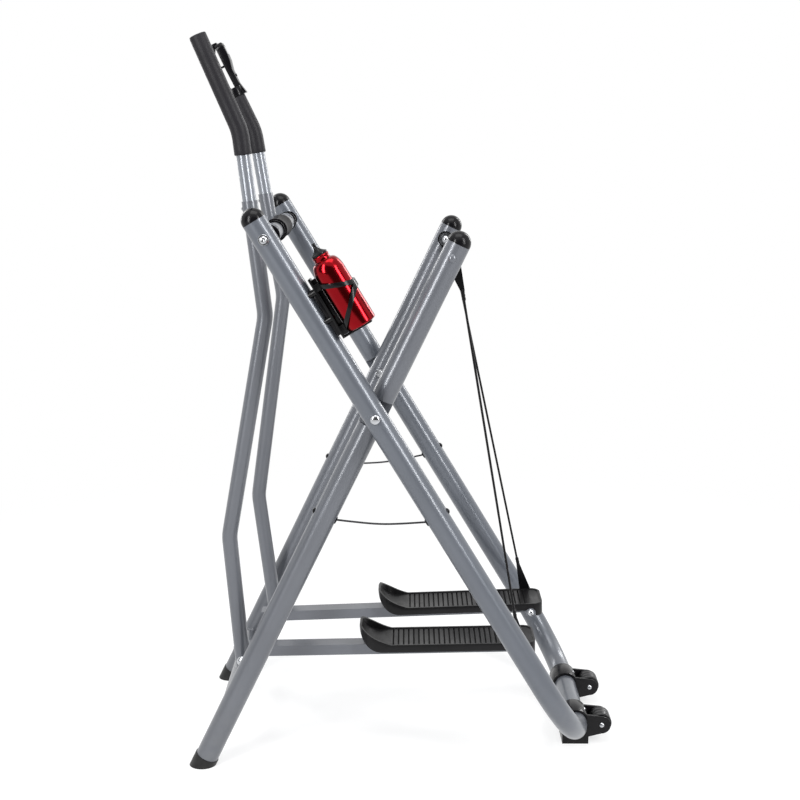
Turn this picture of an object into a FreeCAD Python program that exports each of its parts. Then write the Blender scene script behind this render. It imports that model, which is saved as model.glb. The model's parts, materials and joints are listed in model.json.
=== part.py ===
import FreeCAD, Part
import math
import os
from FreeCAD import Placement, Rotation, Vector

# A folding air walker: two tube frames crossed like an X, two swinging arms with handles,
# and two foot plates that hang between the arms' lower ends and cables from the front frame.
# Millimetres. The user stands facing -X, so left is -Y and right is +Y. The floor is z = 0.

doc = FreeCAD.newDocument("AirWalker")
sheet = doc.addObject("Spreadsheet::Sheet", "Sizes")

SIZES = [
    ("pivotX", -60.7, "crossing pivot, ahead of the middle of the footprint"),
    ("pivotHeight", 763.6, "crossing pivot above the floor"),
    ("tubeDiameter", 48, "frame tube"),
    ("tubeWall", 2, "frame tube"),
    ("rearHalfWidth", 272, "rear frame leg from the middle plane"),
    ("frontHalfWidth", 223, "front frame leg from the middle plane"),
    ("rearLean", 31.05, "rear frame from the vertical, degrees"),
    ("frontLean", 25.8, "front frame from the vertical, degrees"),
    ("rearTop", 445, "rear leg above the pivot, along the tube"),
    ("rearBottom", 835, "cross tube below the pivot, along the tube"),
    ("tubeStand", 48.24, "rear cross tube's axis above the floor"),
    ("rearBend", 165, "bend of the rear frame's lower corners"),
    ("frontTop", 371, "front leg above the pivot, along the tube"),
    ("frontBottom", 826, "front leg below the pivot, along the tube"),
    ("crossbarDown", 722, "crossbar below the pivot, along the front leg"),
    ("crossbarDiameter", 38, "front frame crossbar"),
    ("pressDepth", 20, "legs pressed in where the frames cross"),
    ("pressLength", 60, "pressed flat, along the tube"),
    ("pressSlope", 4, "slope at the ends of the pressed flat"),
    ("pivotPin", 12, "crossing bolt shank diameter"),
    ("pivotHead", 20, "crossing bolt head diameter"),
    ("pivotNut", 18, "crossing nut across flats"),
    ("pivotWasher", 28, "spacer between the frames, diameter"),
    ("axleUp", 406, "arm axle above the pivot, along the rear leg"),
    ("axleDiameter", 16, "arm axle"),
    ("axleWasher", 38, "black washer on the rear leg's inner side, diameter"),
    ("axleWasherThick", 5, "black washer"),
    ("axleHead", 16, "axle screw head diameter"),
    ("axleHeadWasher", 21, "washer under the axle screw head, diameter"),
    ("spacerDiameter", 24, "axle spacer tube"),
    ("coverHalfLength", 62, "hub cover, half its length"),
    ("coverDiameter", 48, "hub cover at its ends"),
    ("coverWaist", 36, "hub cover at its middle"),
    ("coverRing", 2, "silver rings on the hub cover's ends"),
    ("hubDiameter", 36, "arm hub tube"),
    ("hubWall", 4, "arm hub tube"),
    ("hubOuter", 185, "outer end of the arm hub from the middle plane"),
    ("hubInner", 82, "inner end of the arm hub from the middle plane"),
    ("bushFlange", 42, "hub bushing flange diameter"),
    ("bushFlangeThick", 3.5, "hub bushing flange"),
    ("bushLength", 18, "hub bushing inside the hub"),
    ("armHalfWidth", 160, "arm tube from the middle plane"),
    ("armDiameter", 32, "lower arm tube"),
    ("armWall", 1.8, "lower arm tube"),
    ("armBend", 90, "bend radius of the lower arm"),
    ("armHubRise", 65.6, "top of the lower arm above the axle"),
    ("armKneeX", -14.3, "upper bend from the axle, along X"),
    ("armKneeDrop", 163.8, "upper bend below the axle"),
    ("armShinX", -99.2, "lower bend from the axle, along X"),
    ("armShinDrop", 627, "lower bend below the axle"),
    ("armFootX", -78, "pedal pivot from the axle, along X"),
    ("armFootDrop", 900, "pedal pivot below the axle"),
    ("armTail", 17, "lower arm beyond the pedal pivot"),
    ("handleDiameter", 28, "handle tube"),
    ("handleWall", 1.8, "handle tube"),
    ("handleSocket", 55, "handle tube inside the lower arm"),
    ("handleBend", 110, "bend radius of the handle"),
    ("handleBendX", -56.5, "handle bend from the axle, along X"),
    ("handleBendRise", 201.3, "handle bend above the axle"),
    ("handleTopX", -132.9, "handle top from the axle, along X"),
    ("handleTopRise", 379, "handle top above the axle"),
    ("gripDiameter", 34.5, "foam grip"),
    ("gripBelowBend", 47, "foam grip below the handle bend"),
    ("gripCap", 4, "foam over the handle's end"),
    ("jointScrew", 9, "handle joint screw head diameter"),
    ("jointScrewDrop", 14, "handle joint screw below the lower arm's top"),
    ("footPin", 12, "pedal pivot bolt diameter"),
    ("footPinHead", 22, "pedal pivot bolt head diameter"),
    ("rightPhase", 2.33, "right arm ahead of the left in its swing, degrees"),
    ("cableUp", 342, "cable pivot above the crossing, along the front leg"),
    ("linkLength", 862, "cable pivot to heel pivot"),
    ("barLength", 597, "pedal pivot to heel pivot"),
    ("barHalfWidth", 106, "pedal bar from the middle plane"),
    ("barWidth", 36, "pedal bar tube"),
    ("barHeight", 23, "pedal bar tube"),
    ("barWall", 2, "pedal bar tube"),
    ("barNose", 24, "pedal bar ahead of the pedal pivot"),
    ("barTail", 16, "pedal bar beyond the heel pivot"),
    ("sleeveDiameter", 26, "sleeve at the pedal pivot"),
    ("heelTube", 22, "cross tube at the heel pivot"),
    ("plateWidth", 104, "foot plate"),
    ("plateToe", 249.5, "foot plate's toe from the pedal pivot"),
    ("plateHeel", 28, "foot plate beyond the heel pivot"),
    ("plateSkirt", 6, "foot plate's sides below the bar's top"),
    ("plateSide", 16, "foot plate's side height"),
    ("plateRim", 5, "foot plate's rim"),
    ("plateTread", 8, "tread above the bar's top"),
    ("toeRadius", 50, "toe guard's curve"),
    ("toeCorner", 36, "toe corner in plan"),
    ("heelCorner", 22, "heel corner in plan"),
    ("slotPitch", 11, "tread slots"),
    ("slotWidth", 3.5, "tread slots"),
    ("slotDepth", 3, "tread slots"),
    ("slotCount", 25, "tread slots"),
    ("heelPin", 10, "heel pivot bolt diameter"),
    ("heelPinHead", 16, "heel pivot bolt head diameter"),
    ("cableDiameter", 5, "foot plate cable"),
    ("bracketThick", 6, "heel bracket"),
    ("bracketFoot", 15, "heel bracket's radius at its pivot"),
    ("bracketLength", 78, "heel bracket, pivot to cable"),
    ("bracketLean", -3, "heel bracket's tip off the link line"),
    ("hangerThick", 5, "cable hanger"),
    ("hangerEye", 16, "cable hanger's radius at its pivot"),
    ("hangerLength", 72, "cable hanger, pivot to cable"),
    ("hangerLean", 9.6, "hanger's tip off the link line"),
    ("linkTip", 4.5, "radius of hanger and bracket at the cable"),
    ("bossDiameter", 35, "cable boss on the front leg"),
    ("bossStand", 7, "cable boss out of the tube"),
    ("bossPin", 10, "cable pivot bolt"),
    ("bossWasher", 30, "washer on the hanger"),
    ("bossHead", 16, "cable pivot bolt head"),
    ("cordDiameter", 4, "spreader cord"),
    ("cordSag", 4.5, "spreader cord"),
    ("cordDownRear", 237, "spreader cord below the crossing, along the rear leg"),
    ("cordDownFront", 239, "spreader cord below the crossing, along the front leg"),
    ("cordHole", 6.4, "hole for the spreader cord's screw"),
    ("cordEntry", 9.2, "hole where the spreader cord enters its tube"),
    ("cordScrewHead", 13, "spreader cord screw head diameter"),
    ("capRim", 2, "straight rim of the leg caps"),
    ("footInsert", 30, "front foot inside the leg"),
    ("footLip", 1.5, "front foot proud of the leg"),
    ("wheelSpread", 98, "wheel from the middle plane"),
    ("wheelBack", 57, "wheel axle behind the cross tube"),
    ("wheelRise", -5.4, "wheel axle above the cross tube"),
    ("wheelDiameter", 46, "transport wheel"),
    ("wheelWidth", 42, "transport wheel"),
    ("wheelBolt", 8, "wheel bolt diameter"),
    ("wheelBoltHead", 12, "wheel bolt head diameter"),
    ("bracketWidth", 57, "wheel bracket"),
    ("bracketWell", 45, "wheel bracket between its cheeks"),
    ("bracketCollar", 30, "wheel bracket's radius round the cross tube"),
    ("bracketNose", 19.5, "wheel bracket's radius round the wheel bolt"),
    ("bracketWeb", 20, "wheel bracket's cheeks at the cross tube, half their height"),
    ("bracketPad", 57, "wheel bracket's foot pad, along X"),
    ("padWidth", 60, "wheel bracket's foot pad, along Y"),
    ("padSlope", 16, "wheel bracket's lower edge above the floor at the pad"),
    ("wheelGap", 2, "play round the wheel in its bracket"),
    ("bottleDiameter", 60.6, "bottle"),
    ("bottleOffset", 12, "bottle outside the rear leg's centre line"),
    ("bottleStand", 75, "bottle's centre line from the leg's centre line"),
    ("bottleUp", 172, "bottle's base above the crossing, along the rear leg"),
    ("bottleBody", 116, "bottle's straight side"),
    ("bottleShoulder", 28, "bottle's shoulder height"),
    ("bottleNeck", 32, "bottle neck diameter"),
    ("bottleNeckHeight", 10, "bottle neck"),
    ("bottleWall", 1.5, "bottle"),
    ("stopperHeight", 26, "bottle stopper"),
    ("cageGap", 0.9, "cage round the bottle"),
    ("cageWall", 3, "cage strips"),
    ("cageStrip", 9, "cage strips' width"),
    ("cagePlateWidth", 30, "cage back plate"),
    ("cagePlateThick", 5, "cage back plate"),
    ("meterSeat", 92, "meter's seat below the handle's top line"),
    ("meterRise", 6, "meter above the handle's top line"),
    ("meterWidth", 40, "meter across the grip"),
    ("meterFoot", 24, "meter across the grip at its seat"),
    ("meterFront", 5, "meter's front face behind the grip's axis"),
    ("meterBack", 22.5, "meter's display face behind the grip's axis"),
    ("meterSlim", 18, "meter's lower back behind the grip's axis"),
    ("meterDisplay", 42, "meter's display part, along the grip"),
    ("collarHeight", 19.5, "meter collar on the grip"),
    ("collarLip", 0.75, "meter collar proud of the foam"),
    ("guardBow", 16.5, "guard ahead of the grip's axis"),
    ("guardThick", 3.5, "guard"),
    ("guardWidth", 20, "guard across the grip"),
    ("guardStrut", 42, "guard's strut below the handle's top line"),
    ("knobDown", 69, "meter knob below the handle's top line"),
    ("pinPlay", 0.05, "radial play of the running fits"),
    ("sidePlay", 0.5, "side play between moving pieces"),
]

for row, (alias, value, note) in enumerate(SIZES, 1):
    sheet.set(f"A{row}", note)
    sheet.set(f"B{row}", str(value))
    sheet.setAlias(f"B{row}", alias)
doc.recompute()


def size(alias):
    return float(sheet.get(alias))


SIDES = (("left", -1), ("right", 1))
Y_AXIS = Vector(0, 1, 0)
Z_AXIS = Vector(0, 0, 1)
subparts = []


def keep(obj, label, placement=None):
    obj.Label = label
    if placement is not None:
        obj.Placement = placement
    subparts.append(obj)
    return obj


def feature(label, shape, placement=Placement()):
    obj = doc.addObject("Part::Feature", label)
    obj.Shape = shape
    return keep(obj, label, placement.multiply(shape.Placement))


def helper(kind, name, placement=Placement(), **bound):
    obj = doc.addObject(kind, name)
    for prop, expression in bound.items():
        obj.setExpression(prop, expression)
    obj.Placement = placement
    return obj


def compound(shapes):
    return Part.makeCompound(shapes)


def rod(radius, start, end):
    return Part.makeCylinder(radius, (end - start).Length, start, end - start)


def rodY(radius, x, z, y0, y1):
    low, high = min(y0, y1), max(y0, y1)
    return Part.makeCylinder(radius, high - low, Vector(x, low, z), Y_AXIS)


def boxBetween(x0, x1, y0, y1, z0, z1):
    corner = Vector(min(x0, x1), min(y0, y1), min(z0, z1))
    return Part.makeBox(abs(x1 - x0), abs(y1 - y0), abs(z1 - z0), corner)


def turnY(degrees):
    return Rotation(Y_AXIS, degrees)


def plateY(wire, y0, y1):
    face = Part.Face(wire)
    low, high = min(y0, y1), max(y0, y1)
    face.translate(Vector(0, low, 0))
    return face.extrude(Vector(0, high - low, 0))


def revolveZ(points):
    # A closed half profile of (radius, height) points, turned about the Z axis.
    outline = [Vector(radius, 0, height) for radius, height in points]
    wire = Part.makePolygon(outline + outline[:1])
    return Part.Face(wire).revolve(Vector(), Z_AXIS, 360)


def dome(radius, height, centre, direction):
    # A flat-bottomed dome: the cap of a sphere through its rim and its top.
    ball = (radius**2 + height**2) / (2 * height)
    sphere = Part.makeSphere(ball, Vector(0, 0, height - ball))
    cap = sphere.common(Part.makeCylinder(radius, height + 1))
    cap.Placement = Placement(centre, Rotation(Z_AXIS, direction))
    return cap


def bentPath(points, radii):
    # Straight runs between the points, with a tangent arc of its own radius at each inner one.
    edges = []
    last = points[0]
    for before, corner, after, radius in zip(points, points[1:], points[2:], radii):
        arrive = (corner - before).normalize()
        leave = (after - corner).normalize()
        turn = arrive.getAngle(leave)
        reach = radius * math.tan(turn / 2)
        start = corner - arrive * reach
        end = corner + leave * reach
        inward = (leave - arrive).normalize()
        middle = corner + inward * (radius / math.cos(turn / 2) - radius)
        edges.append(Part.LineSegment(last, start).toShape())
        edges.append(Part.Arc(start, middle, end).toShape())
        last = end
    edges.append(Part.LineSegment(last, points[-1]).toShape())
    return Part.Wire(edges)


def pipe(path, radius):
    start = path.OrderedVertexes[0].Point
    along = path.OrderedEdges[0].tangentAt(path.OrderedEdges[0].FirstParameter)
    ring = Part.Wire(Part.makeCircle(radius, start, along))
    return path.makePipeShell([ring], True, False)


def tube(path, radius, wall):
    return pipe(path, radius).cut(pipe(path, radius - wall))


# Common places.
pivot = Vector(size("pivotX"), 0, size("pivotHeight"))
rearPlace = Placement(pivot, turnY(-size("rearLean")))
frontPlace = Placement(pivot, turnY(size("frontLean")))
tubeRadius = size("tubeDiameter") / 2
innerRadius = tubeRadius - size("tubeWall")
play = size("pinPlay")
sidePlay = size("sidePlay")
axle = rearPlace.multVec(Vector(0, 0, size("axleUp")))
cablePivot = frontPlace.multVec(Vector(0, 0, size("cableUp")))
rearInner = size("rearHalfWidth") - tubeRadius
rearOuter = size("rearHalfWidth") + tubeRadius
frontInner = size("frontHalfWidth") - tubeRadius
frontOuter = size("frontHalfWidth") + tubeRadius
tubeLine = rearPlace.multVec(Vector(0, 0, -size("rearBottom")))
floorLevel = tubeLine.z - size("tubeStand")
armFoot = Vector(size("armFootX"), 0, -size("armFootDrop"))
barCentre = size("barHalfWidth")
armCentre = size("armHalfWidth")


def linkage(phase):
    # Where the pedal pivot and the heel pivot stand when an arm has swung by this angle.
    first = axle + turnY(-phase).multVec(armFoot)
    across = cablePivot - first
    span = across.Length
    bar, link = size("barLength"), size("linkLength")
    along = (bar**2 - link**2 + span**2) / (2 * span)
    offset = math.sqrt(bar**2 - along**2)
    unit = across / span
    second = first + unit * along + Vector(unit.z, 0, -unit.x) * offset
    barAngle = math.degrees(math.atan2(second.z - first.z, second.x - first.x))
    hang = cablePivot - second
    linkAngle = math.degrees(math.atan2(hang.x, hang.z))
    return first, second, barAngle, linkAngle


PHASES = {"left": 0.0, "right": size("rightPhase")}


# Rear frame: two straight legs joined below by a bent cross tube.
def pressed(side, solidRadius, wall):
    # The pressed flat where a leg meets the other frame, on the side that faces it.
    depth = size("pressDepth")
    length = size("pressLength") / 2 + wall
    block = boxBetween(
        -2 * tubeRadius, 2 * tubeRadius,
        side * (solidRadius - depth), side * (solidRadius + depth),
        -length, length,
    )
    ends = [edge for edge in block.Edges if abs(abs(edge.CenterOfMass.z) - length) < 0.01]
    inner = [edge for edge in ends if abs(edge.CenterOfMass.y - side * (solidRadius - depth)) < 0.01]
    return block.makeChamfer(size("pressSlope"), inner)


def frameLeg(centreY, top, bottom, faceSide, holes):
    flat = pressed(faceSide, tubeRadius, 0)
    hollowFlat = pressed(faceSide, innerRadius, size("tubeWall"))
    solid = Part.makeCylinder(tubeRadius, top + bottom, Vector(0, 0, -bottom)).cut(flat)
    hollow = Part.makeCylinder(innerRadius, top + bottom, Vector(0, 0, -bottom)).cut(hollowFlat)
    leg = solid.cut(hollow)
    for hole in holes:
        leg = leg.cut(hole)
    leg.translate(Vector(0, centreY, 0))
    return leg


def crossHole(radius, height):
    return Part.makeCylinder(radius, 4 * tubeRadius, Vector(0, -2 * tubeRadius, height), Y_AXIS)


def cordHole(height, head):
    # The screw's hole on one side of the tube, and the wider one for the cord on the other.
    reach = 2 * tubeRadius
    out = Vector(head, 0, 0)
    screwHole = Part.makeCylinder(size("cordHole") / 2, reach, Vector(0, 0, height), out)
    entry = Part.makeCylinder(size("cordEntry") / 2, reach, Vector(0, 0, height), -out)
    return screwHole.fuse(entry)


straightDown = size("rearBottom") - size("rearBend")
for name, side in SIDES:
    holes = [
        crossHole(size("pivotPin") / 2, 0),
        crossHole(size("axleDiameter") / 2, size("axleUp")),
        cordHole(-size("cordDownRear"), 1),
    ]
    centre = side * size("rearHalfWidth")
    leg = frameLeg(centre, size("rearTop"), straightDown, -side, holes)
    feature("rear_leg_" + name, leg, rearPlace)

cornerY = size("rearHalfWidth")
crossPath = bentPath(
    [
        Vector(0, -cornerY, -straightDown),
        Vector(0, -cornerY, -size("rearBottom")),
        Vector(0, cornerY, -size("rearBottom")),
        Vector(0, cornerY, -straightDown),
    ],
    [size("rearBend") * 0.9999] * 2,
)
feature("rear_cross_tube", tube(crossPath, tubeRadius, size("tubeWall")), rearPlace)


# Black dome caps on the four upper tube ends.
def legCap(centreY, top):
    rim = Part.makeCylinder(tubeRadius, size("capRim"), Vector(0, centreY, top))
    plug = Part.makeCylinder(innerRadius, 12, Vector(0, centreY, top - 12))
    ball = Part.makeSphere(tubeRadius, Vector(0, centreY, top + size("capRim")))
    upper = boxBetween(
        -tubeRadius, tubeRadius, centreY - tubeRadius, centreY + tubeRadius,
        top + size("capRim"), top + size("capRim") + tubeRadius,
    )
    return rim.fuse([plug, ball.common(upper)]).removeSplitter()


rearCaps = [legCap(side * size("rearHalfWidth"), size("rearTop")) for _, side in SIDES]
feature("rear_caps", compound(rearCaps), rearPlace)

# Front frame: two legs and a crossbar near the floor.
for name, side in SIDES:
    holes = [
        crossHole(size("pivotPin") / 2 + play, 0),
        crossHole(size("bossPin") / 2, size("cableUp")),
        cordHole(-size("cordDownFront"), -1),
    ]
    centre = side * size("frontHalfWidth")
    leg = frameLeg(centre, size("frontTop"), size("frontBottom"), side, holes)
    feature("front_leg_" + name, leg, frontPlace)

barRadius = size("crossbarDiameter") / 2
crossbar = rodY(barRadius, 0, -size("crossbarDown"), -size("frontHalfWidth"), size("frontHalfWidth"))
crossbar = crossbar.cut(
    rodY(barRadius - size("tubeWall"), 0, -size("crossbarDown"), -cornerY, cornerY)
)
for name, side in SIDES:
    coping = Part.makeCylinder(
        tubeRadius, 4 * tubeRadius,
        Vector(0, side * size("frontHalfWidth"), -size("crossbarDown") - 2 * tubeRadius),
    )
    crossbar = crossbar.cut(coping)
crossbar = max(crossbar.Solids, key=lambda solid: solid.Volume)
feature("front_crossbar", crossbar, frontPlace)

frontCaps = [legCap(side * size("frontHalfWidth"), size("frontTop")) for _, side in SIDES]
feature("front_caps", compound(frontCaps), frontPlace)

# Rubber feet that carry the front legs' outline on to the floor.
footEnd = frontPlace.multVec(Vector(0, 0, -size("frontBottom")))
footReach = (footEnd.z - floorLevel) / math.cos(math.radians(size("frontLean"))) + 2 * tubeRadius
floorTool = boxBetween(
    footEnd.x - 2 * footReach, footEnd.x + 2 * footReach, -2 * cornerY, 2 * cornerY,
    floorLevel - 2 * footReach, floorLevel,
)
for name, side in SIDES:
    centre = side * size("frontHalfWidth")
    down = size("frontBottom")
    stub = Part.makeCylinder(
        tubeRadius + size("footLip"), footReach, Vector(0, centre, -down - footReach)
    )
    insert = Part.makeCylinder(innerRadius, size("footInsert"), Vector(0, centre, -down))
    foot = stub.fuse(insert).removeSplitter()
    foot.Placement = frontPlace
    foot = foot.cut(floorTool)
    feature("front_foot_" + name, foot.removeSplitter())

# Crossing pivots: a bolt, its nut and a washer in the pressed flats.
pinStart = rearOuter
pinEnd = frontInner - sidePlay
crossingBolts = []
crossingWashers = []
nutHeight = 9
for name, side in SIDES:
    shank = rodY(size("pivotPin") / 2, 0, 0, side * pinStart, side * (pinEnd - nutHeight - 2))
    head = dome(size("pivotHead") / 2, 6, Vector(0, side * rearOuter, 0), Vector(0, side, 0))
    nutRadius = size("pivotNut") / math.sqrt(3)
    corners = [
        Vector(nutRadius * math.cos(math.radians(a)), 0, nutRadius * math.sin(math.radians(a)))
        for a in range(0, 360, 60)
    ]
    nutWire = Part.makePolygon(corners + corners[:1])
    nut = plateY(nutWire, side * (pinEnd - nutHeight), side * pinEnd)
    crossingBolts.append(shank.fuse([head, nut]).removeSplitter())
    washerIn = rearInner + size("pressDepth")
    washerOut = frontOuter - size("pressDepth") + 0.3
    ring = rodY(size("pivotWasher") / 2, 0, 0, side * washerIn, side * washerOut)
    ring = ring.cut(rodY(size("pivotPin") / 2, 0, 0, side * washerIn, side * washerOut))
    ring.Placement = rearPlace
    crossingWashers.append(ring)
feature("crossing_bolts", compound(crossingBolts), rearPlace)

# Arm axle through both rear legs, with a button screw and a washer on each end.
axlePlace = Placement(Vector(axle.x, -rearOuter, axle.z), Rotation(Vector(1, 0, 0), -90))
axleRod = helper(
    "Part::Cylinder", "axleRod", axlePlace,
    Radius="Sizes.axleDiameter / 2",
    Height="2 * Sizes.rearHalfWidth + Sizes.tubeDiameter",
)
keep(axleRod, "hub_axle")

axleBolts = []
axleWashers = []
axleSpacers = []
for name, side in SIDES:
    washer = rodY(size("axleHeadWasher") / 2, axle.x, axle.z, side * rearOuter, side * (rearOuter + 2.5))
    headBase = Vector(axle.x, side * (rearOuter + 2.5), axle.z)
    head = dome(size("axleHead") / 2, 6, headBase, Vector(0, side, 0))
    socket = rodY(2.6, axle.x, axle.z, side * (rearOuter + 4.5), side * (rearOuter + 12))
    axleBolts.append(washer.fuse(head).cut(socket).removeSplitter())
    bore = rodY(size("axleDiameter") / 2, axle.x, axle.z, 0, side * rearOuter)
    washerEnd = rearInner - size("axleWasherThick")
    disc = rodY(size("axleWasher") / 2, axle.x, axle.z, side * washerEnd, side * rearInner)
    axleWashers.append(disc.cut(bore))
    hubEnd = size("hubOuter") + size("bushFlangeThick") + sidePlay
    outerSpacer = rodY(size("spacerDiameter") / 2, axle.x, axle.z, side * hubEnd, side * washerEnd)
    axleSpacers.append(outerSpacer.cut(bore))
feature("axle_bolts", compound(axleBolts))
feature("frame_washers", compound(axleWashers + crossingWashers))
feature("axle_spacers", compound(axleSpacers))

# Waisted cover round the middle of the axle, with silver rings on its ends.
coverEnd = size("coverHalfLength")
endRadius = size("coverDiameter") / 2
waistRadius = size("coverWaist") / 2
boreRadius = size("axleDiameter") / 2
coverEdges = [
    Part.LineSegment(Vector(boreRadius, 0, -coverEnd), Vector(endRadius, 0, -coverEnd)).toShape(),
    Part.LineSegment(Vector(endRadius, 0, -coverEnd), Vector(endRadius, 0, -coverEnd + 9)).toShape(),
    Part.Arc(
        Vector(endRadius, 0, -coverEnd + 9), Vector(waistRadius, 0, 0), Vector(endRadius, 0, coverEnd - 9)
    ).toShape(),
    Part.LineSegment(Vector(endRadius, 0, coverEnd - 9), Vector(endRadius, 0, coverEnd)).toShape(),
    Part.LineSegment(Vector(endRadius, 0, coverEnd), Vector(boreRadius, 0, coverEnd)).toShape(),
    Part.LineSegment(Vector(boreRadius, 0, coverEnd), Vector(boreRadius, 0, -coverEnd)).toShape(),
]
cover = Part.Face(Part.Wire(coverEdges)).revolve(Vector(), Z_AXIS, 360)
middlePlace = Placement(Vector(axle.x, 0, axle.z), Rotation(Vector(1, 0, 0), -90))
feature("hub_cover", cover, middlePlace)

ringGap = size("hubInner") - size("bushFlangeThick") - sidePlay
coverRings = []
for name, side in SIDES:
    ring = rodY(endRadius - 3, axle.x, axle.z, side * coverEnd, side * (coverEnd + size("coverRing")))
    inner = rodY(endRadius - 7, axle.x, axle.z, side * coverEnd, side * ringGap)
    bore = rodY(boreRadius, axle.x, axle.z, 0, side * rearOuter)
    coverRings.append(ring.fuse(inner).cut(bore).removeSplitter())
feature("cover_rings", compound(coverRings))

# Spreader cords, each held by a screw in the far side of its tube.
cordScrews = {"rear": [], "front": []}
cordEnds = {}
for name, side in SIDES:
    for frame, place, half, down, head in (
        ("rear", rearPlace, size("rearHalfWidth"), size("cordDownRear"), 1),
        ("front", frontPlace, size("frontHalfWidth"), size("cordDownFront"), -1),
    ):
        seat = Vector(head * tubeRadius, side * half, -down)
        screw = dome(size("cordScrewHead") / 2, 4, seat, Vector(head, 0, 0))
        shank = rod(size("cordHole") / 2 - 0.2, seat - Vector(head * 10, 0, 0), seat + Vector(head, 0, 0))
        cordScrews[frame].append(screw.fuse(shank).removeSplitter())
        inside = Vector(-head * (tubeRadius - 3), side * half, -down)
        cordEnds[frame] = place.multVec(inside)
    start, end = cordEnds["front"], cordEnds["rear"]
    middle = (start + end) / 2 - Vector(0, 0, size("cordSag"))
    bow = Part.Wire(Part.Arc(start, middle, end).toShape())
    cord = pipe(bow, size("cordDiameter") / 2)
    feature("spreader_cord_" + name, cord)
feature("cord_screws_rear", compound(cordScrews["rear"]), rearPlace)
feature("cord_screws_front", compound(cordScrews["front"]), frontPlace)

# Transport wheels: a moulded collar with a foot pad below and two cheeks behind.
wheelAxis = tubeLine + Vector(size("wheelBack"), 0, size("wheelRise"))
crossSolid = pipe(crossPath, tubeRadius)
crossSolid.Placement = rearPlace
wheelBolts = []
for name, side in SIDES:
    low = side * size("wheelSpread") - size("bracketWidth") / 2
    high = low + size("bracketWidth")
    wellLow = side * size("wheelSpread") - size("bracketWell") / 2
    wellHigh = wellLow + size("bracketWell")
    collar = rodY(size("bracketCollar"), tubeLine.x, tubeLine.z, low, high)
    nose = rodY(size("bracketNose"), wheelAxis.x, wheelAxis.z, low, high)
    # Tangent web between the two rounds.
    spanLength = size("wheelBack")
    drop = size("bracketWeb") - size("bracketNose")
    lean = math.asin(drop / math.hypot(spanLength, size("wheelRise")))
    tilt = math.atan2(size("wheelRise"), spanLength)
    webPoints = []
    for centrePoint, radius, sign in (
        (tubeLine, size("bracketWeb"), 1),
        (wheelAxis, size("bracketNose"), 1),
        (wheelAxis, size("bracketNose"), -1),
        (tubeLine, size("bracketWeb"), -1),
    ):
        angle = tilt + sign * (math.pi / 2 - lean)
        reach = Vector(math.cos(angle), 0, math.sin(angle)) * radius
        webPoints.append(Vector(centrePoint.x, 0, centrePoint.z) + reach)
    web = plateY(Part.makePolygon(webPoints + webPoints[:1]), low, high)
    padHalf = size("bracketPad") / 2
    padSpill = (size("padWidth") - size("bracketWidth")) / 2
    pad = boxBetween(
        tubeLine.x - padHalf, tubeLine.x + padHalf, low - padSpill, high + padSpill,
        floorLevel, tubeLine.z - 0.44 * tubeRadius,
    )
    slopePoints = [
        Vector(tubeLine.x, 0, floorLevel + size("padSlope")),
        Vector(tubeLine.x + padHalf, 0, floorLevel + size("padSlope")),
        Vector(wheelAxis.x, 0, wheelAxis.z - size("bracketNose")),
        Vector(wheelAxis.x, 0, wheelAxis.z),
        Vector(tubeLine.x, 0, wheelAxis.z),
    ]
    slope = plateY(Part.makePolygon(slopePoints + slopePoints[:1]), low, high)
    bracket = collar.fuse([nose, web, slope, pad]).removeSplitter()
    bracket = bracket.cut(crossSolid)
    wellRadius = size("wheelDiameter") / 2 + size("wheelGap")
    well = rodY(wellRadius, wheelAxis.x, wheelAxis.z, wellLow, wellHigh)
    wellBox = boxBetween(
        wheelAxis.x, wheelAxis.x + 2 * wellRadius, wellLow, wellHigh,
        wheelAxis.z - wellRadius, wheelAxis.z + wellRadius,
    )
    opening = boxBetween(
        tubeLine.x, wheelAxis.x, wellLow, wellHigh, wheelAxis.z, tubeLine.z + 2 * size("bracketCollar")
    )
    bracket = bracket.cut(well).cut(wellBox).cut(opening.cut(collar))
    boltHole = rodY(size("wheelBolt") / 2 + play, wheelAxis.x, wheelAxis.z, low - 1, high + 1)
    feature("wheel_bracket_" + name, bracket.cut(boltHole).removeSplitter())
    wheelHalf = size("wheelWidth") / 2
    wheelRadius = size("wheelDiameter") / 2
    wheelBore = size("wheelBolt") / 2 + play
    wheel = revolveZ(
        [
            (wheelBore, -wheelHalf), (wheelBore + 5, -wheelHalf), (wheelBore + 6, -wheelHalf + 3),
            (wheelRadius - 6, -wheelHalf + 3), (wheelRadius - 5, -wheelHalf + 0.5),
            (wheelRadius - 2, -wheelHalf + 0.5), (wheelRadius, -wheelHalf + 2.5),
            (wheelRadius, wheelHalf - 2.5), (wheelRadius - 2, wheelHalf - 0.5),
            (wheelRadius - 5, wheelHalf - 0.5), (wheelRadius - 6, wheelHalf - 3),
            (wheelBore + 6, wheelHalf - 3), (wheelBore + 5, wheelHalf), (wheelBore, wheelHalf),
        ]
    )
    wheelPlace = Placement(
        Vector(wheelAxis.x, side * size("wheelSpread"), wheelAxis.z), Rotation(Vector(1, 0, 0), -90)
    )
    feature("wheel_" + name, wheel, wheelPlace)
    bolt = rodY(size("wheelBolt") / 2, wheelAxis.x, wheelAxis.z, low, high)
    ends = [
        dome(size("wheelBoltHead") / 2, 4, Vector(wheelAxis.x, low, wheelAxis.z), Vector(0, -1, 0)),
        dome(size("wheelBoltHead") / 2, 4, Vector(wheelAxis.x, high, wheelAxis.z), Vector(0, 1, 0)),
    ]
    wheelBolts.append(bolt.fuse(ends).removeSplitter())
feature("wheel_bolts", compound(wheelBolts))


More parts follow.
